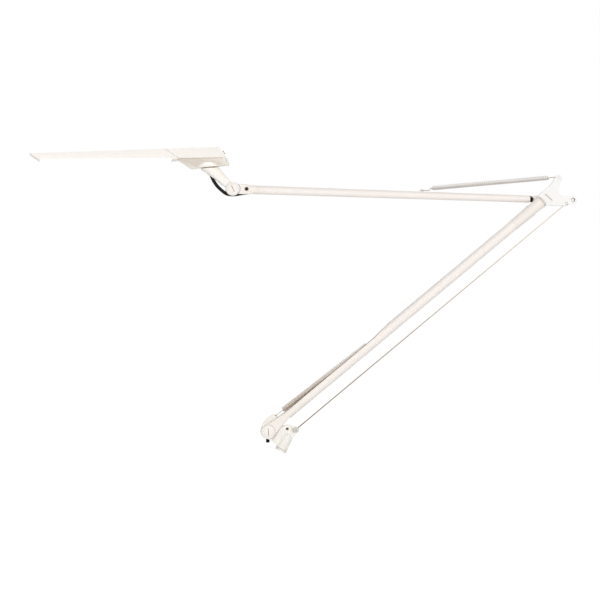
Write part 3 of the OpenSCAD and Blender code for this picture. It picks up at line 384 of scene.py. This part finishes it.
def sweep(name, points, radius, sides=8, radii=None, start_side=(0, 1, 0)):
    """Closed rod along a path, of one radius or of one for each point."""
    pts = [Vector(p) for p in points]
    tang = [(pts[min(i + 1, len(pts) - 1)] - pts[max(i - 1, 0)]).normalized() for i in range(len(pts))]
    side = Vector(start_side)
    bm = bmesh.new()
    rings = []
    for i, (p, t) in enumerate(zip(pts, tang)):
        side = (side - side.dot(t) * t).normalized()
        other = t.cross(side)
        r = radii[i] if radii else radius
        ring = []
        for k in range(sides):
            turn = 2 * math.pi * k / sides
            ring.append(bm.verts.new(p + r * (math.cos(turn) * side + math.sin(turn) * other)))
        rings.append(ring)
    for one, two in zip(rings, rings[1:]):
        for k in range(sides):
            bm.faces.new((one[k], one[(k + 1) % sides], two[(k + 1) % sides], two[k]))
    bm.faces.new(rings[0][::-1])
    bm.faces.new(rings[-1])
    bmesh.ops.recalc_face_normals(bm, faces=bm.faces)
    mesh = as_mesh(bm, name)
    for p in mesh.polygons:
        p.use_smooth = len(p.vertices) == 4
    return mesh


def smooth_path(points, n):
    """Catmull-Rom curve through the points, n steps between two of them."""
    out = []
    p = [Vector(q) for q in points]
    for i in range(len(p) - 1):
        a, b, c, d = p[max(i - 1, 0)], p[i], p[i + 1], p[min(i + 2, len(p) - 1)]
        for k in range(n):
            t = k / n
            bend = (2 * a - 5 * b + 4 * c - d) * t * t + (3 * b - a - 3 * c + d) * t ** 3
            out.append(0.5 * (2 * b + (c - a) * t + bend))
    return out + [p[-1]]


# Camera at the photograph's angle
def make_camera():
    cam = bpy.data.cameras.new("camera")
    cam.sensor_width = 36.0
    cam.lens = 120.0
    camera = bpy.data.objects.new("camera", cam)
    camera.location = (-0.20092, -2.59011, 0.19613)
    camera.rotation_euler = (math.radians(90), 0, math.radians(-5))
    bpy.context.scene.collection.objects.link(camera)
    bpy.context.scene.camera = camera
    bpy.context.scene.view_settings.view_transform = "Standard"


def spring_wire(hole, out, first, aim, coil_end, pin, pin_r, meet, eye, outer, wire, turns, per=16):
    """Path of a spring hooked through a plate at hole and over a pin, coiled from first towards aim.

    The wire leaves the plate along out, and reaches the pin at the angle meet from the coil's line.
    eye = (half the plate's thickness, the hole's radius, the distance from its middle to the edge)."""
    d = (aim - first).normalized()
    up = Vector((-d.z, 0, d.x))
    y = Vector((0, 1, 0))
    half, hole_r, edge = eye
    g, q, over = half + wire + 0.0002, hole_r - wire - 0.0001, edge + wire + 0.0003
    pts = []
    for along, off in ((q + 0.0026, g), (q + 0.0016, g), (q + 0.0007, g - 0.0001), (q + 0.0001, g - 0.0005),
                       (q, 0.0), (q + 0.0001, 0.0005 - g), (q + 0.0007, 0.0001 - g), (over - 0.001, -g),
                       (over, -g * 0.97), (over + 0.0009, -g * 0.8), (over + 0.0022, -g * 0.45),
                       (over + 0.0036, -g * 0.12)):
        pts.append(hole + out * along + y * off)
    pts.append(hole + out * ((first - hole).dot(out) - 0.0026))
    pts.append(first - d * 0.0012)
    last = aim - d * coil_end
    steps = turns * per
    for i in range(steps + 1):
        grow = min(1.0, i / (0.75 * per), (steps - i) / (0.75 * per))
        grow = grow * grow * (3 - 2 * grow) * (outer - wire)
        turn = 2 * math.pi * i / per
        pts.append(first + (last - first) * (i / steps) + grow * (up * math.cos(turn) + y * math.sin(turn)))
    pts.append(last + d * 0.0012)
    hook = pin_r + wire + 0.00012
    a = math.radians(meet)
    reach = pin + hook * (d * math.cos(a) + up * math.sin(a)) - 0.0018 * (d * math.sin(a) - up * math.cos(a))
    gap = reach - pts[-1]
    for k in range(1, int(gap.length / 0.003)):
        pts.append(pts[-1] + gap / int(gap.length / 0.003 + 1))
    pts.append(reach)
    for k in range(15):
        a = math.radians(meet - (meet + 130) * k / 14)
        pts.append(pin + hook * (d * math.cos(a) + up * math.sin(a)))
    return pts


def lower_spring():
    pin = along_lower(0.205, 0.0054)
    aim = along_lower(0.172, 0.0039)
    d = (aim - LUG).normalized()
    wire = 0.00040
    path = spring_wire(LUG, d, LUG + d * 0.0133, aim, 0.0, pin, 0.0012, 128, (0.0018, 0.0015, 0.0037),
                       0.00375, wire, 92, 12)
    o = piece("lower_spring_coil", sweep("lower_spring_coil", path, wire, 8), None, "spring_steel",
              ["lower_spring"], "spring_light")
    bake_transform(o)


def upper_spring():
    hole = along_upper(0.248, 0.00675)
    first = along_upper(0.2613, 0.00995)
    top = POST + Vector((0, 0, 0.00215))
    wire = 0.00041
    path = spring_wire(hole, polar(1, UPPER_SLOPE), first, top, 0.0093, POST, 0.0016, 90,
                       (0.0009, 0.001, 0.0019), 0.00312, wire, 60)
    o = piece("upper_spring_coil", sweep("upper_spring_coil", path, wire, 8), None, "spring_steel",
              ["upper_spring"], "spring_dark")
    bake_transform(o)


def neck_cable():
    route = [NECK + Vector((x, 0, z)) * MM for x, z in (
        (-28.2, 19.3), (-27.1, 16), (-25.6, 12.6), (-22.9, 7.9), (-19.2, 3.0), (-14.8, -1.2), (-10.3, -4.8),
        (-6, -6.8), (0, -7.35), (5, -7.05), (11.8, -5.88), (19.8, -4.58), (27.9, -3.27), (33.9, -3.2),
        (47.9, -3.6))]
    o = piece("neck_cable", sweep("neck_cable", smooth_path(route, 6), NECK_LEAD_R, 18), None, "black_lead",
              ["neck_lead"])
    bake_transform(o)


def elbow_cables():
    route = smooth_path([ELBOW + Vector((x, y, z)) * MM for x, y, z in (
        (-54.8, 0, -46.7), (-51.4, 0.8, -43.5), (-47.6, 4.5, -38.7), (-43.6, 9, -34.1), (-38.6, 11.6, -29.1),
        (-28.7, 12, -20.6), (-19.6, 12.3, -12.9), (-11.2, 12.9, -5.9), (-6.1, 13.4, -0.9), (-4.7, 13.5, 3.1),
        (-6.3, 13.5, 6), (-9.9, 13.5, 7.2), (-14.1, 13.5, 7.4))], 5)
    split = 40
    low = sweep("elbow_cable_low", route[:split + 1], THIN_LEAD_R, 16)
    o = piece("elbow_cable_low", low, None, "black_lead", ["elbow_lead_low"])
    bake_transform(o)
    high = sweep("elbow_cable_high", route[split:], THIN_LEAD_R, 16)
    o = piece("elbow_cable_high", high, None, "black_lead", ["elbow_lead_high"])
    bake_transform(o)


def lower_cable():
    """Lead along the bottom of the lower tube."""
    x = [0.036, 0.06] + [0.06 + 0.0277 * k for k in range(1, 11)] + [0.362, 0.37, 0.3788]
    z = [-0.0023] * (len(x) - 3) + [-0.0020, -0.0015, -0.0012]
    mesh = sweep("lower_cable", [along_lower(a, b) for a, b in zip(x, z)], THIN_LEAD_R, 14)
    piece("lower_cable", mesh, "lower_arm", "black_lead", ["lower_lead"])


def cylinder(start, direction, length, r, sides=64):
    """Closed round bar as a mesh."""
    return sweep("bar", [start, start + direction * length], r, sides)


def prism(points, y0, y1):
    """Closed prism across the arm from outline points in the picture plane."""
    bm = bmesh.new()
    near = [bm.verts.new((p.x, y0, p.z)) for p in points]
    far = [bm.verts.new((p.x, y1, p.z)) for p in points]
    bm.faces.new(near)
    bm.faces.new(far[::-1])
    for i in range(len(near)):
        j = (i + 1) % len(near)
        bm.faces.new((near[i], far[i], far[j], near[j]))
    bmesh.ops.recalc_face_normals(bm, faces=bm.faces)
    return as_mesh(bm, "prism")


def carved(mesh, *cutters):
    """The mesh less the cutters."""
    for c in cutters:
        tool = bpy.data.objects.new("tool", c)
        bpy.context.scene.collection.objects.link(tool)
        mesh = evaluated(mesh, ("BOOLEAN", {"operation": "DIFFERENCE", "object": tool, "solver": "EXACT"}))
        bpy.data.objects.remove(tool)
    return mesh


LOWER_DIR = polar(1, LOWER_SLOPE)
CHANNEL_TOP = 0.0052
CHANNEL_END = 0.214
CHANNEL_RAMP = 0.030


def tube_blank():
    """Lower tube: an open channel for the spring, a long slope, then round."""
    outer = cylinder(along_lower(0.0341, TUBE_OFFSET), LOWER_DIR, 0.4092, TUBE_R, 96)
    bore = cylinder(along_lower(0.030, TUBE_OFFSET), LOWER_DIR, 0.42, 0.0056, 96)
    opening = prism([along_lower(0.0, CHANNEL_TOP), along_lower(CHANNEL_END - CHANNEL_RAMP, CHANNEL_TOP),
                     along_lower(CHANNEL_END - 0.004, 0.0079), along_lower(CHANNEL_END, 0.0084),
                     along_lower(CHANNEL_END, 0.03), along_lower(0.0, 0.03)], -0.02, 0.02)
    exit_hole = cylinder(along_lower(0.404, 0.0008), Vector((0, 1, 0)), 0.02, 0.0024, 40)
    return carved(outer, bore, opening, exit_hole)


def lower_arm():
    """Foot and the start of the tube in one casting; the rest of the tube starts flush in it."""
    tube = tube_blank()
    near = cut_off(tube, along_lower(0.078, 0), -LOWER_DIR)
    far = cut_off(tube, along_lower(0.062, 0), LOWER_DIR)

    def shoulder(p):
        along = (p - LOWER).dot(LOWER_DIR)
        return 0.010 < along < 0.054 and abs(p.y) > 0.0052

    foot = copy_of("lower_foot")
    normal = polar(1, LOWER_SLOPE + 90)
    for v in foot.vertices:
        t = min(1.0, max(0.0, ((v.co - LOWER).dot(LOWER_DIR) - 0.004) / 0.026))
        v.co -= normal * 0.0010 * t * t * (3 - 2 * t)
    mesh = moulded(joined(foot, near), 0.4, 3, shoulder, 45)
    for v in mesh.vertices:
        along = (v.co - LOWER).dot(LOWER_DIR)
        if along > 0.055:
            axis = along_lower(along, TUBE_OFFSET)
            out = v.co - axis
            if out.length > 0.0062:
                v.co = axis + out * (1 - 0.012 * min(1.0, (along - 0.055) / 0.007))
    o = piece("lower_arm_foot", thinned(mesh, 0.5), "lower_arm", "casting_white",
              ["lower_foot", "foot_rivets"])
    castings.append(o)
    o = piece("lower_arm_tube", far, "lower_arm", "painted_tube", ["lower_tube"])
    finish_mesh(o, 40)


def sleeve_radius(x):
    """Outer radius of the sleeve at a distance from the lower pivot, in millimetres."""
    t = min(1.0, max(0.0, (x - 424.0) / 44.0))
    return 7.05 + 1.42 * t * t * (3 - 2 * t)


def elbow_sleeve():
    xs = [421.3, 421.6, 424, 427, 430, 433, 436, 439, 442, 445, 448, 451, 454, 457, 460, 463, 466, 468.6,
          469.4, 469.8]
    radii = [sleeve_radius(x) * MM for x in xs]
    radii[0] -= 0.00018
    radii[-2] -= 0.0001
    radii[-1] -= 0.0005
    blank = sweep("blank", [along_lower(x * MM, TUBE_OFFSET) for x in xs], 0, 96, radii)
    bore = cylinder(along_lower(0.41, TUBE_OFFSET), LOWER_DIR, 0.0334, TUBE_R + 0.00003, 96)
    core = cylinder(along_lower(0.44, TUBE_OFFSET), LOWER_DIR, 0.016, 0.0034, 48)
    slot = prism([along_lower(0.4513, -0.03), along_lower(0.5, -0.03), along_lower(0.5, 0.03),
                  along_lower(0.4513, 0.03)], -0.0043, 0.0043)
    o = piece("sleeve_flare", carved(blank, bore, core, slot), "lower_arm", "casting_white", ["elbow_sleeve"])
    finish_mesh(o, 40)
    castings.append(o)
    # Two dark brown arcs on each side of the sleeve's end: painted shade of the gap there
    for side in (-1, 1):
        for x, r, wire in ((468.2, sleeve_radius(468.2) - 0.12, 0.26),
                           (469.75, sleeve_radius(469.75) - 0.62, 0.3)):
            pts = []
            for k in range(25):
                a = math.radians(33 + 114 * k / 24)
                across = side * r * math.sin(a) * MM
                pts.append(along_lower(x * MM, TUBE_OFFSET + r * math.cos(a) * MM, across))
            name = f"sleeve_seam_{'near' if side < 0 else 'far'}_{int(x)}"
            seam = sweep(name, pts, wire * MM, 8, start_side=tuple(LOWER_DIR))
            piece(name, seam, "lower_arm", "casting_white", look="gap_shade_brown")


def root_gaiter():
    """Black rubber wedge round the tongue where the lead enters the upper tube, black so that it paints the
    shade inside the tube's open end.
    """
    outline = [(-9.75, 5.3), (-9.75, 12.5), (-9.3, 12.7), (-8.6, 12.2), (-5.0, 9.3), (-4.8, 9.0), (-5.0, 8.7),
               (-8.6, 5.4), (-9.3, 5.0)]
    points = [ELBOW + Vector((x, 0, z)) * MM for x, z in outline]
    bm = bmesh.new()
    bm.from_mesh(prism(points, 0.0095, 0.0175))
    settings = {"width": 0.3 * MM, "segments": 3, "limit_method": "ANGLE", "angle_limit": math.radians(60)}
    mesh = evaluated(as_mesh(bm, "root_gaiter"), ("BEVEL", settings))
    o = piece("root_gaiter", mesh, "upper_arm", "black_rubber")
    finish_mesh(o, 50)


def ring(name, centre, y0, y1, outer, inner, body, slot, look):
    """Eyelet across the arm, with bevelled rims, made dark so that it paints the shade inside a hole."""
    lip = min(0.15 * MM, (outer - inner) * 0.3)
    profile = [(outer, y0 + lip), (outer - lip, y0), (inner + lip, y0), (inner, y0 + lip), (inner, y1 - lip),
               (inner + lip, y1), (outer - lip, y1), (outer, y1 - lip)]
    bm = bmesh.new()
    sides = 48
    rows = []
    for k in range(sides):
        a = 2 * math.pi * k / sides
        spots = [centre + Vector((r * math.cos(a), y, r * math.sin(a))) for r, y in profile]
        rows.append([bm.verts.new(spot) for spot in spots])
    for k in range(sides):
        one, two = rows[k], rows[(k + 1) % sides]
        for i in range(len(profile)):
            j = (i + 1) % len(profile)
            bm.faces.new((one[i], two[i], two[j], one[j]))
    bmesh.ops.recalc_face_normals(bm, faces=bm.faces)
    o = piece(name, as_mesh(bm, name), body, slot, look=look)
    finish_mesh(o, 50)


def inlay(name, a, b, y, width, body, slot, look):
    """Thin raised line between two points of a face across the arm."""
    d = (b - a).normalized()
    up = Vector((-d.z, 0, d.x)) * width / 2
    pts = [a - up, b - up, b + d * width * 0.4, b + up, a + up, a - d * width * 0.4]
    piece(name, prism(pts, y - 0.0001, y + 0.0001), body, slot, look=look)


# Spare hole of the elbow plate, from the elbow
SPARE_HOLE = Vector((0.0452, 0, 0.0072))


def elbow():
    cast("elbow_moulding", ["elbow_plate"], voxel=0.35, rounds=3, ratio=0.5)
    # Metal eyelets in the plate's holes, dark so that they paint the shade inside the holes
    ring("spare_hole_eyelet", ELBOW + SPARE_HOLE, -0.00312, 0.00312, 0.00262, 0.0020, "elbow", "plate_white",
         "eyelet_shade")
    ring("rod_hole_eyelet", ELBOW + ROD_HOLE, -0.00312, -0.0026, 0.0021, 0.00122, "elbow", "plate_white",
         "eyelet_shade")
    ring("rod_hole_eyelet_far", ELBOW + ROD_HOLE, 0.0026, 0.00312, 0.0021, 0.00122, "elbow", "plate_white",
         "eyelet_shade")


def base():
    cast("bracket_casting", ["base_bracket"], voxel=0.4, rounds=7, ratio=0.5)
    # Painted shade: a dark disc inside the web's hole stands for the shade in it
    hole = ROD_LOW + Vector((-0.0111, 0, 0.0014))
    path = [hole + Vector((0, y, 0)) for y in (-0.0008, -0.0006, 0.0006, 0.0008)]
    shade_disc = sweep("web_hole_plug", path, 0, 40, [0.0016, 0.00185, 0.00185, 0.0016], start_side=(1, 0, 0))
    piece("web_hole_plug", shade_disc, "bracket", "casting_white", look="hole_shade")


def saddle():
    """Low ear for the spring's hook on a pad on the upper tube."""
    tube = 0.00508
    outline = ((0.2450, -0.0006), (0.2512, -0.0006), (0.2512, 0.0002), (0.2505, 0.0005), (0.2457, 0.0005),
               (0.2450, 0.0002))
    pad = [along_upper(x, tube + up) for x, up in outline]
    wide = prism(pad, ARM_Y - 0.0024, ARM_Y + 0.0024)
    ear = [along_upper(0.2455, tube)]
    for k in range(13):
        a = math.radians(150 - 170 * k / 12)
        ear.append(along_upper(0.248 + 0.0019 * math.cos(a), 0.00675 + 0.0019 * math.sin(a)))
    ear.append(along_upper(0.2506, tube))
    thin = prism(ear, ARM_Y - 0.0009, ARM_Y + 0.0009)
    hole = cylinder(along_upper(0.248, 0.00675, -0.02), Vector((0, 1, 0)), 0.04, 0.001, 32)
    thin = carved(thin, hole)
    cast("saddle_ear", ["spring_saddle"], voxel=0.22, rounds=2, ratio=0.6, mesh=joined(wide, thin))


def slim_rod():
    """Parallel rod with its two eyes, thinner towards the elbow."""
    mesh = copy_of("parallel_rod")
    for v in mesh.vertices:
        along = (v.co - ROD_LOW).dot(LOWER_DIR)
        axis = ROD_LOW + LOWER_DIR * along
        out = v.co - axis
        if out.length < 0.00103 and 0.0022 < along < LOWER_LENGTH - 0.0022:
            v.co = axis + out * (0.72 - 0.16 * along / LOWER_LENGTH)
    o = piece("parallel_rod_wire", mesh, "rod", "spring_steel", ["parallel_rod"], "rod_steel")
    finish_mesh(o)


def lamp_head():
    bevelled("light_bar_shell", ["light_bar"], 0.45)
    bevelled("tip_cap_shell", ["tip_cap"], 0.6)
    milky_strip()
    bevelled("rear_cover_shell", ["rear_cover"], 0.45)
    bevelled("end_plate_shell", ["end_plate"], 0.5, look="boss_white")
    bevelled("power_button_shell", ["power_button"], 0.2)
    o = bevelled("rear_housing_shell", ["rear_housing"], 0.4)
    castings.append(o)


def milky_strip():
    """Lens in its pocket, with a thin milky face just under the bar and the tip, and a wedge at its end."""
    face = ((-218.6, 20.1), (-214.0, 21.0), (-50.6, 21.6))
    rim = [(x, -w) for x, w in face] + [(x, w) for x, w in reversed(face)]
    top = [on_head(x, 10.5, y) for x, y in rim]
    low = [on_head(x, 9.65, y) for x, y in rim]
    bm = bmesh.new()
    a = [bm.verts.new(p) for p in low]
    b = [bm.verts.new(p) for p in top]
    bm.faces.new(a[::-1])
    bm.faces.new(b)
    for i in range(len(a)):
        j = (i + 1) % len(a)
        bm.faces.new((a[i], a[j], b[j], b[i]))
    bmesh.ops.recalc_face_normals(bm, faces=bm.faces)
    plate = as_mesh(bm, "milky_face")
    bevelled("diffuser_shell", ["diffuser"], 0.15, mesh=joined(copy_of("diffuser"), plate))
    points = [on_head(-50.4, 10.5), on_head(-41.8, 10.5), on_head(-43.2, 9.75), on_head(-44.2, 9.5),
              on_head(-50.4, 9.5)]
    wedge = prism(points, ARM_Y - 0.0212, ARM_Y + 0.0212)
    bevelled("bar_end_wedge", ["light_bar"], 0.2, mesh=wedge, slot="housing_beige")


def swivel_dome():
    """Smooth light dome over the swivel's boss, with a rounded rim above the seam."""
    up = polar(1, 90 + BOSS_LEAN)
    across = polar(1, BOSS_LEAN)
    centre = SWIVEL - across * 0.0026
    profile = [(0.0, 0.05), (10.0, 0.05), (14.3, 0.05), (15.1, 0.2), (15.4, 0.6), (15.45, 1.1), (15.3, 1.6),
               (15.1, 2.2), (15.03, 3.2), (15.0, 4.5), (14.95, 5.8), (14.7, 7.0), (13.5, 7.8), (9.0, 8.2),
               (0.0, 8.3)]
    sides = 64
    bm = bmesh.new()
    rows = []
    for r, z in profile:
        row = []
        for k in range(sides if r else 1):
            a = 2 * math.pi * k / sides
            out = across * math.cos(a) + Vector((0, 1, 0)) * math.sin(a)
            row.append(bm.verts.new(centre + out * r * MM + up * z * MM))
        rows.append(row)
    for one, two in zip(rows, rows[1:]):
        for k in range(sides):
            j = (k + 1) % sides
            ring_points = [one[k % len(one)], one[j % len(one)], two[j % len(two)], two[k % len(two)]]
            kept = []
            for v in ring_points:
                if v not in kept:
                    kept.append(v)
            bm.faces.new(kept)
    bmesh.ops.recalc_face_normals(bm, faces=bm.faces)
    o = piece("swivel_dome", as_mesh(bm, "swivel_dome"), "head", "housing_beige", look="boss_white")
    finish_mesh(o, 60)


def neck():
    cast("neck_casting", ["neck_arm"], voxel=0.4, rounds=8, ratio=0.5)


def caps():
    for n in ("lower_pivot_cap", "neck_pivot_cap", "lower_pivot_nut", "neck_pivot_nut"):
        bevelled(n + "_dome", [n], 0.25, angle=40)


# Half a slot line's length, its place across the base cap, and how deep it lies in the neck's cap
SLOT_HALF = 0.0043
BASE_SLOT_Y = -0.01095
CAP_SLOT_DEPTH = 0.00132


def slot_shades():
    """Painted shade at the bottom of the two caps' slots, as thin tan lines."""
    for name, centre, y, lean, cap in (("base_slot_shade", LOWER, BASE_SLOT_Y, 0, "lower_pivot_cap"),
                                       ("neck_slot_shade", NECK, neck_slot_y(), 24, "neck_pivot_cap")):
        along = polar(SLOT_HALF, 90 + lean)
        inlay(name, centre - along, centre + along, y, 0.0010, BODY[cap], "cap_plastic", "groove_shade_tan")


def neck_slot_y():
    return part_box("neck_pivot_cap")[0][1] + CAP_SLOT_DEPTH


# Places of the seams and the marks, across from the head's middle
HEAD_HALF = 0.0220
MARK_HALF = 0.02195


def head_seams():
    """Lines of painted shade that stand for the seam between cover and housing, and the end plate's two dark
    marks.
    """
    for side in (-1, 1):
        y = ARM_Y + side * HEAD_HALF
        name = "cover_seam_near" if side < 0 else "cover_seam_far"
        inlay(name, on_head(-40.4, 10.55), on_head(15.6, 10.55), y, 0.0008, "head", "housing_beige",
              "groove_shade_tan")
        for k, (x, z) in enumerate(((16.6, 18.6), (18.2, 16.2))):
            a = on_head(x - 0.5, z + 0.7)
            b = on_head(x + 0.5, z - 0.7)
            name = f"end_plate_mark_{'near' if side < 0 else 'far'}_{k}"
            inlay(name, a, b, ARM_Y + side * MARK_HALF, 0.0009, "head", "cover_cream", "hole_shade")


# The plate's own faces are at about 3 mm there, so these lines stand off it
TONGUE_LINE_Y = 0.00400


def tongue_line():
    """Line of painted shade that stands for the groove across the elbow's tongue, on both sides."""
    for side in (-1, 1):
        name = "tongue_line_near" if side < 0 else "tongue_line_far"
        inlay(name, ELBOW + Vector((8.0, 0, 14.7)) * MM, ELBOW + Vector((17.3, 0, 6.2)) * MM,
              side * TONGUE_LINE_Y, 0.0006, "elbow", "plate_white", "groove_shade_tan")


# Upper tube: radius at its start, what it loses by its end, its start and its length
UPPER_R = 0.00565
UPPER_TAPER = 0.00095
UPPER_START = 0.030
UPPER_SPAN = 0.3627


def upper_tube():
    """Fitting at the neck and the tube's start in one casting; the rest of the tube starts flush in it."""
    def part(x0, x1):
        def r(x):
            return UPPER_R - UPPER_TAPER * (x - UPPER_START) / UPPER_SPAN

        ends = (x0, x1)
        outer = sweep("outer", [along_upper(x) for x in ends], 0, 96, [r(x) for x in ends])
        inner = sweep("inner", [along_upper(x) for x in (x0 - 0.001, x1 + 0.001)], 0, 64,
                      [r(x) - 0.001 for x in ends])
        return carved(outer, inner)

    direction = polar(1, UPPER_SLOPE)

    def fitting(p):
        along = (p - NECK).dot(direction)
        return 0.004 < along < 0.040 and p.y < ARM_Y - 0.0022

    mesh = moulded(joined(copy_of("upper_end"), part(0.0299, 0.050)), 0.35, 2, fitting, 14)
    for v in mesh.vertices:
        along = (v.co - NECK).dot(direction)
        axis = along_upper(along)
        out = v.co - axis
        if along > 0.038 and out.length > 0.0050:
            v.co = axis + out * (1 - 0.014 * min(1.0, (along - 0.038) / 0.004))
    o = piece("upper_end_casting", thinned(mesh, 0.5), "upper_arm", SLOT["upper_end"], ["upper_end"])
    castings.append(o)
    o = piece("upper_arm_tube", part(0.0425, 0.3927), "upper_arm", SLOT["upper_tube"], ["upper_tube"])
    finish_mesh(o, 40)


def remaining_nodes():
    for n, o in frame["nodes"].items():
        if not o.hide_render:
            o.data.materials.clear()
            o.data.materials.append(M[LOOK.get(n, SLOT[n])])


def shade_crevices(reach=0.0030):
    """Stores on each point of the castings how closed in it is, for the painted shade of seams and holes."""
    bm = bmesh.new()
    for o in bpy.data.objects:
        if o.type == "MESH" and not o.hide_render:
            bm.from_mesh(o.data)
    tree = BVHTree.FromBMesh(bm)
    bm.free()
    rays = []
    for i in range(40):
        z = 1 - 2 * (i + 0.5) / 40
        a = i * math.pi * (3 - math.sqrt(5))
        w = math.sqrt(1 - z * z)
        rays.append(Vector((w * math.cos(a), w * math.sin(a), z)))
    for o in castings:
        values = []
        for v in o.data.vertices:
            n = v.normal
            start = v.co + n * 0.00015
            total = 0.0
            shut = 0.0
            for d in rays:
                w = d.dot(n)
                if w < 0.15:
                    continue
                total += w
                far = tree.ray_cast(start, d, reach)[3]
                if far is not None:
                    shut += w * (1 - far / reach)
            values.append(min(1.0, 1.5 * shut / total) if total else 0.0)
        o.data.attributes.new("crevice", "FLOAT", "POINT").data.foreach_set("value", values)


def stage_material(name, color, extra):
    """Pale surface that keeps shadows and shows a little brighter to the camera and in reflections."""
    m = bpy.data.materials.new(name)
    m.use_nodes = True
    nt = m.node_tree
    nt.nodes.clear()
    out = nt.nodes.new("ShaderNodeOutputMaterial")
    body = nt.nodes.new("ShaderNodeBsdfDiffuse")
    body.inputs["Color"].default_value = (*color, 1)
    glow = nt.nodes.new("ShaderNodeEmission")
    glow.inputs["Color"].default_value = (1, 1, 1, 1)
    level = nt.nodes.new("ShaderNodeMath")
    level.operation = "MULTIPLY"
    level.inputs[1].default_value = extra
    nt.links.new(seen_ray(nt), level.inputs[0])
    nt.links.new(level.outputs[0], glow.inputs["Strength"])
    add = nt.nodes.new("ShaderNodeAddShader")
    nt.links.new(body.outputs[0], add.inputs[0])
    nt.links.new(glow.outputs[0], add.inputs[1])
    nt.links.new(add.outputs[0], out.inputs["Surface"])
    m.cycles.emission_sampling = "NONE"
    return m


def seen_ray(nt):
    """1 for camera, glossy and transmission rays."""
    rays = nt.nodes.new("ShaderNodeLightPath")
    last = rays.outputs["Is Camera Ray"]
    for kind in ("Is Glossy Ray", "Is Transmission Ray"):
        either = nt.nodes.new("ShaderNodeMath")
        either.operation = "MAXIMUM"
        nt.links.new(last, either.inputs[0])
        nt.links.new(rays.outputs[kind], either.inputs[1])
        last = either.outputs[0]
    return last


def make_floor(z=-0.30):
    bm = bmesh.new()
    bmesh.ops.create_circle(bm, cap_ends=True, radius=9.0, segments=96)
    floor = bpy.data.objects.new("floor", as_mesh(bm, "floor"))
    floor.location = (0, 0, z)
    bpy.context.scene.collection.objects.link(floor)
    floor.data.materials.append(stage_material("floor_pale", (0.80, 0.80, 0.80), 0.66))


def make_world():
    world = bpy.data.worlds.new("studio")
    bpy.context.scene.world = world
    world.use_nodes = True
    nt = world.node_tree
    nt.nodes.clear()
    out = nt.nodes.new("ShaderNodeOutputWorld")
    soft = nt.nodes.new("ShaderNodeBackground")
    soft.inputs["Color"].default_value = (1.0, 0.99, 0.975, 1)
    soft.inputs["Strength"].default_value = 0.48
    white = nt.nodes.new("ShaderNodeBackground")
    white.inputs["Color"].default_value = (1, 1, 1, 1)
    white.inputs["Strength"].default_value = 1.0
    mix = nt.nodes.new("ShaderNodeMixShader")
    nt.links.new(seen_ray(nt), mix.inputs["Fac"])
    nt.links.new(soft.outputs[0], mix.inputs[1])
    nt.links.new(white.outputs[0], mix.inputs[2])
    nt.links.new(mix.outputs[0], out.inputs["Surface"])


def lamp(name, at, to, size, power, color=(1, 1, 1)):
    light = bpy.data.lights.new(name, "AREA")
    light.shape = "SQUARE"
    light.size = size
    light.energy = power
    light.color = color
    o = bpy.data.objects.new(name, light)
    o.location = at
    o.rotation_euler = (Vector(to) - Vector(at)).to_track_quat("-Z", "Y").to_euler()
    bpy.context.scene.collection.objects.link(o)


def make_lights():
    lamp("key", (1.1, -1.7, 1.1), (0.05, 0, 0.2), 1.3, 14.5, (1.0, 0.985, 0.965))
    lamp("fill", (-0.7, -2.1, 0.12), (0.05, 0, 0.25), 0.7, 17, (1.0, 0.985, 0.965))
    lamp("back", (0.3, 2.2, 1.7), (0.05, 0, 0.2), 1.6, 10)


make_camera()
neck_cable()
elbow_cables()
lower_cable()
lower_spring()
upper_spring()
base()
lower_arm()
elbow_sleeve()
elbow()
root_gaiter()
saddle()
slim_rod()
cast("root_casting", ["upper_root"], voxel=0.35, rounds=3)
neck()
upper_tube()
caps()
slot_shades()
lamp_head()
swivel_dome()
head_seams()
tongue_line()
bevelled("socket_bush_shell", ["socket_bush"], 0.35)
remaining_nodes()
shade_crevices()
make_floor()
make_world()
make_lights()
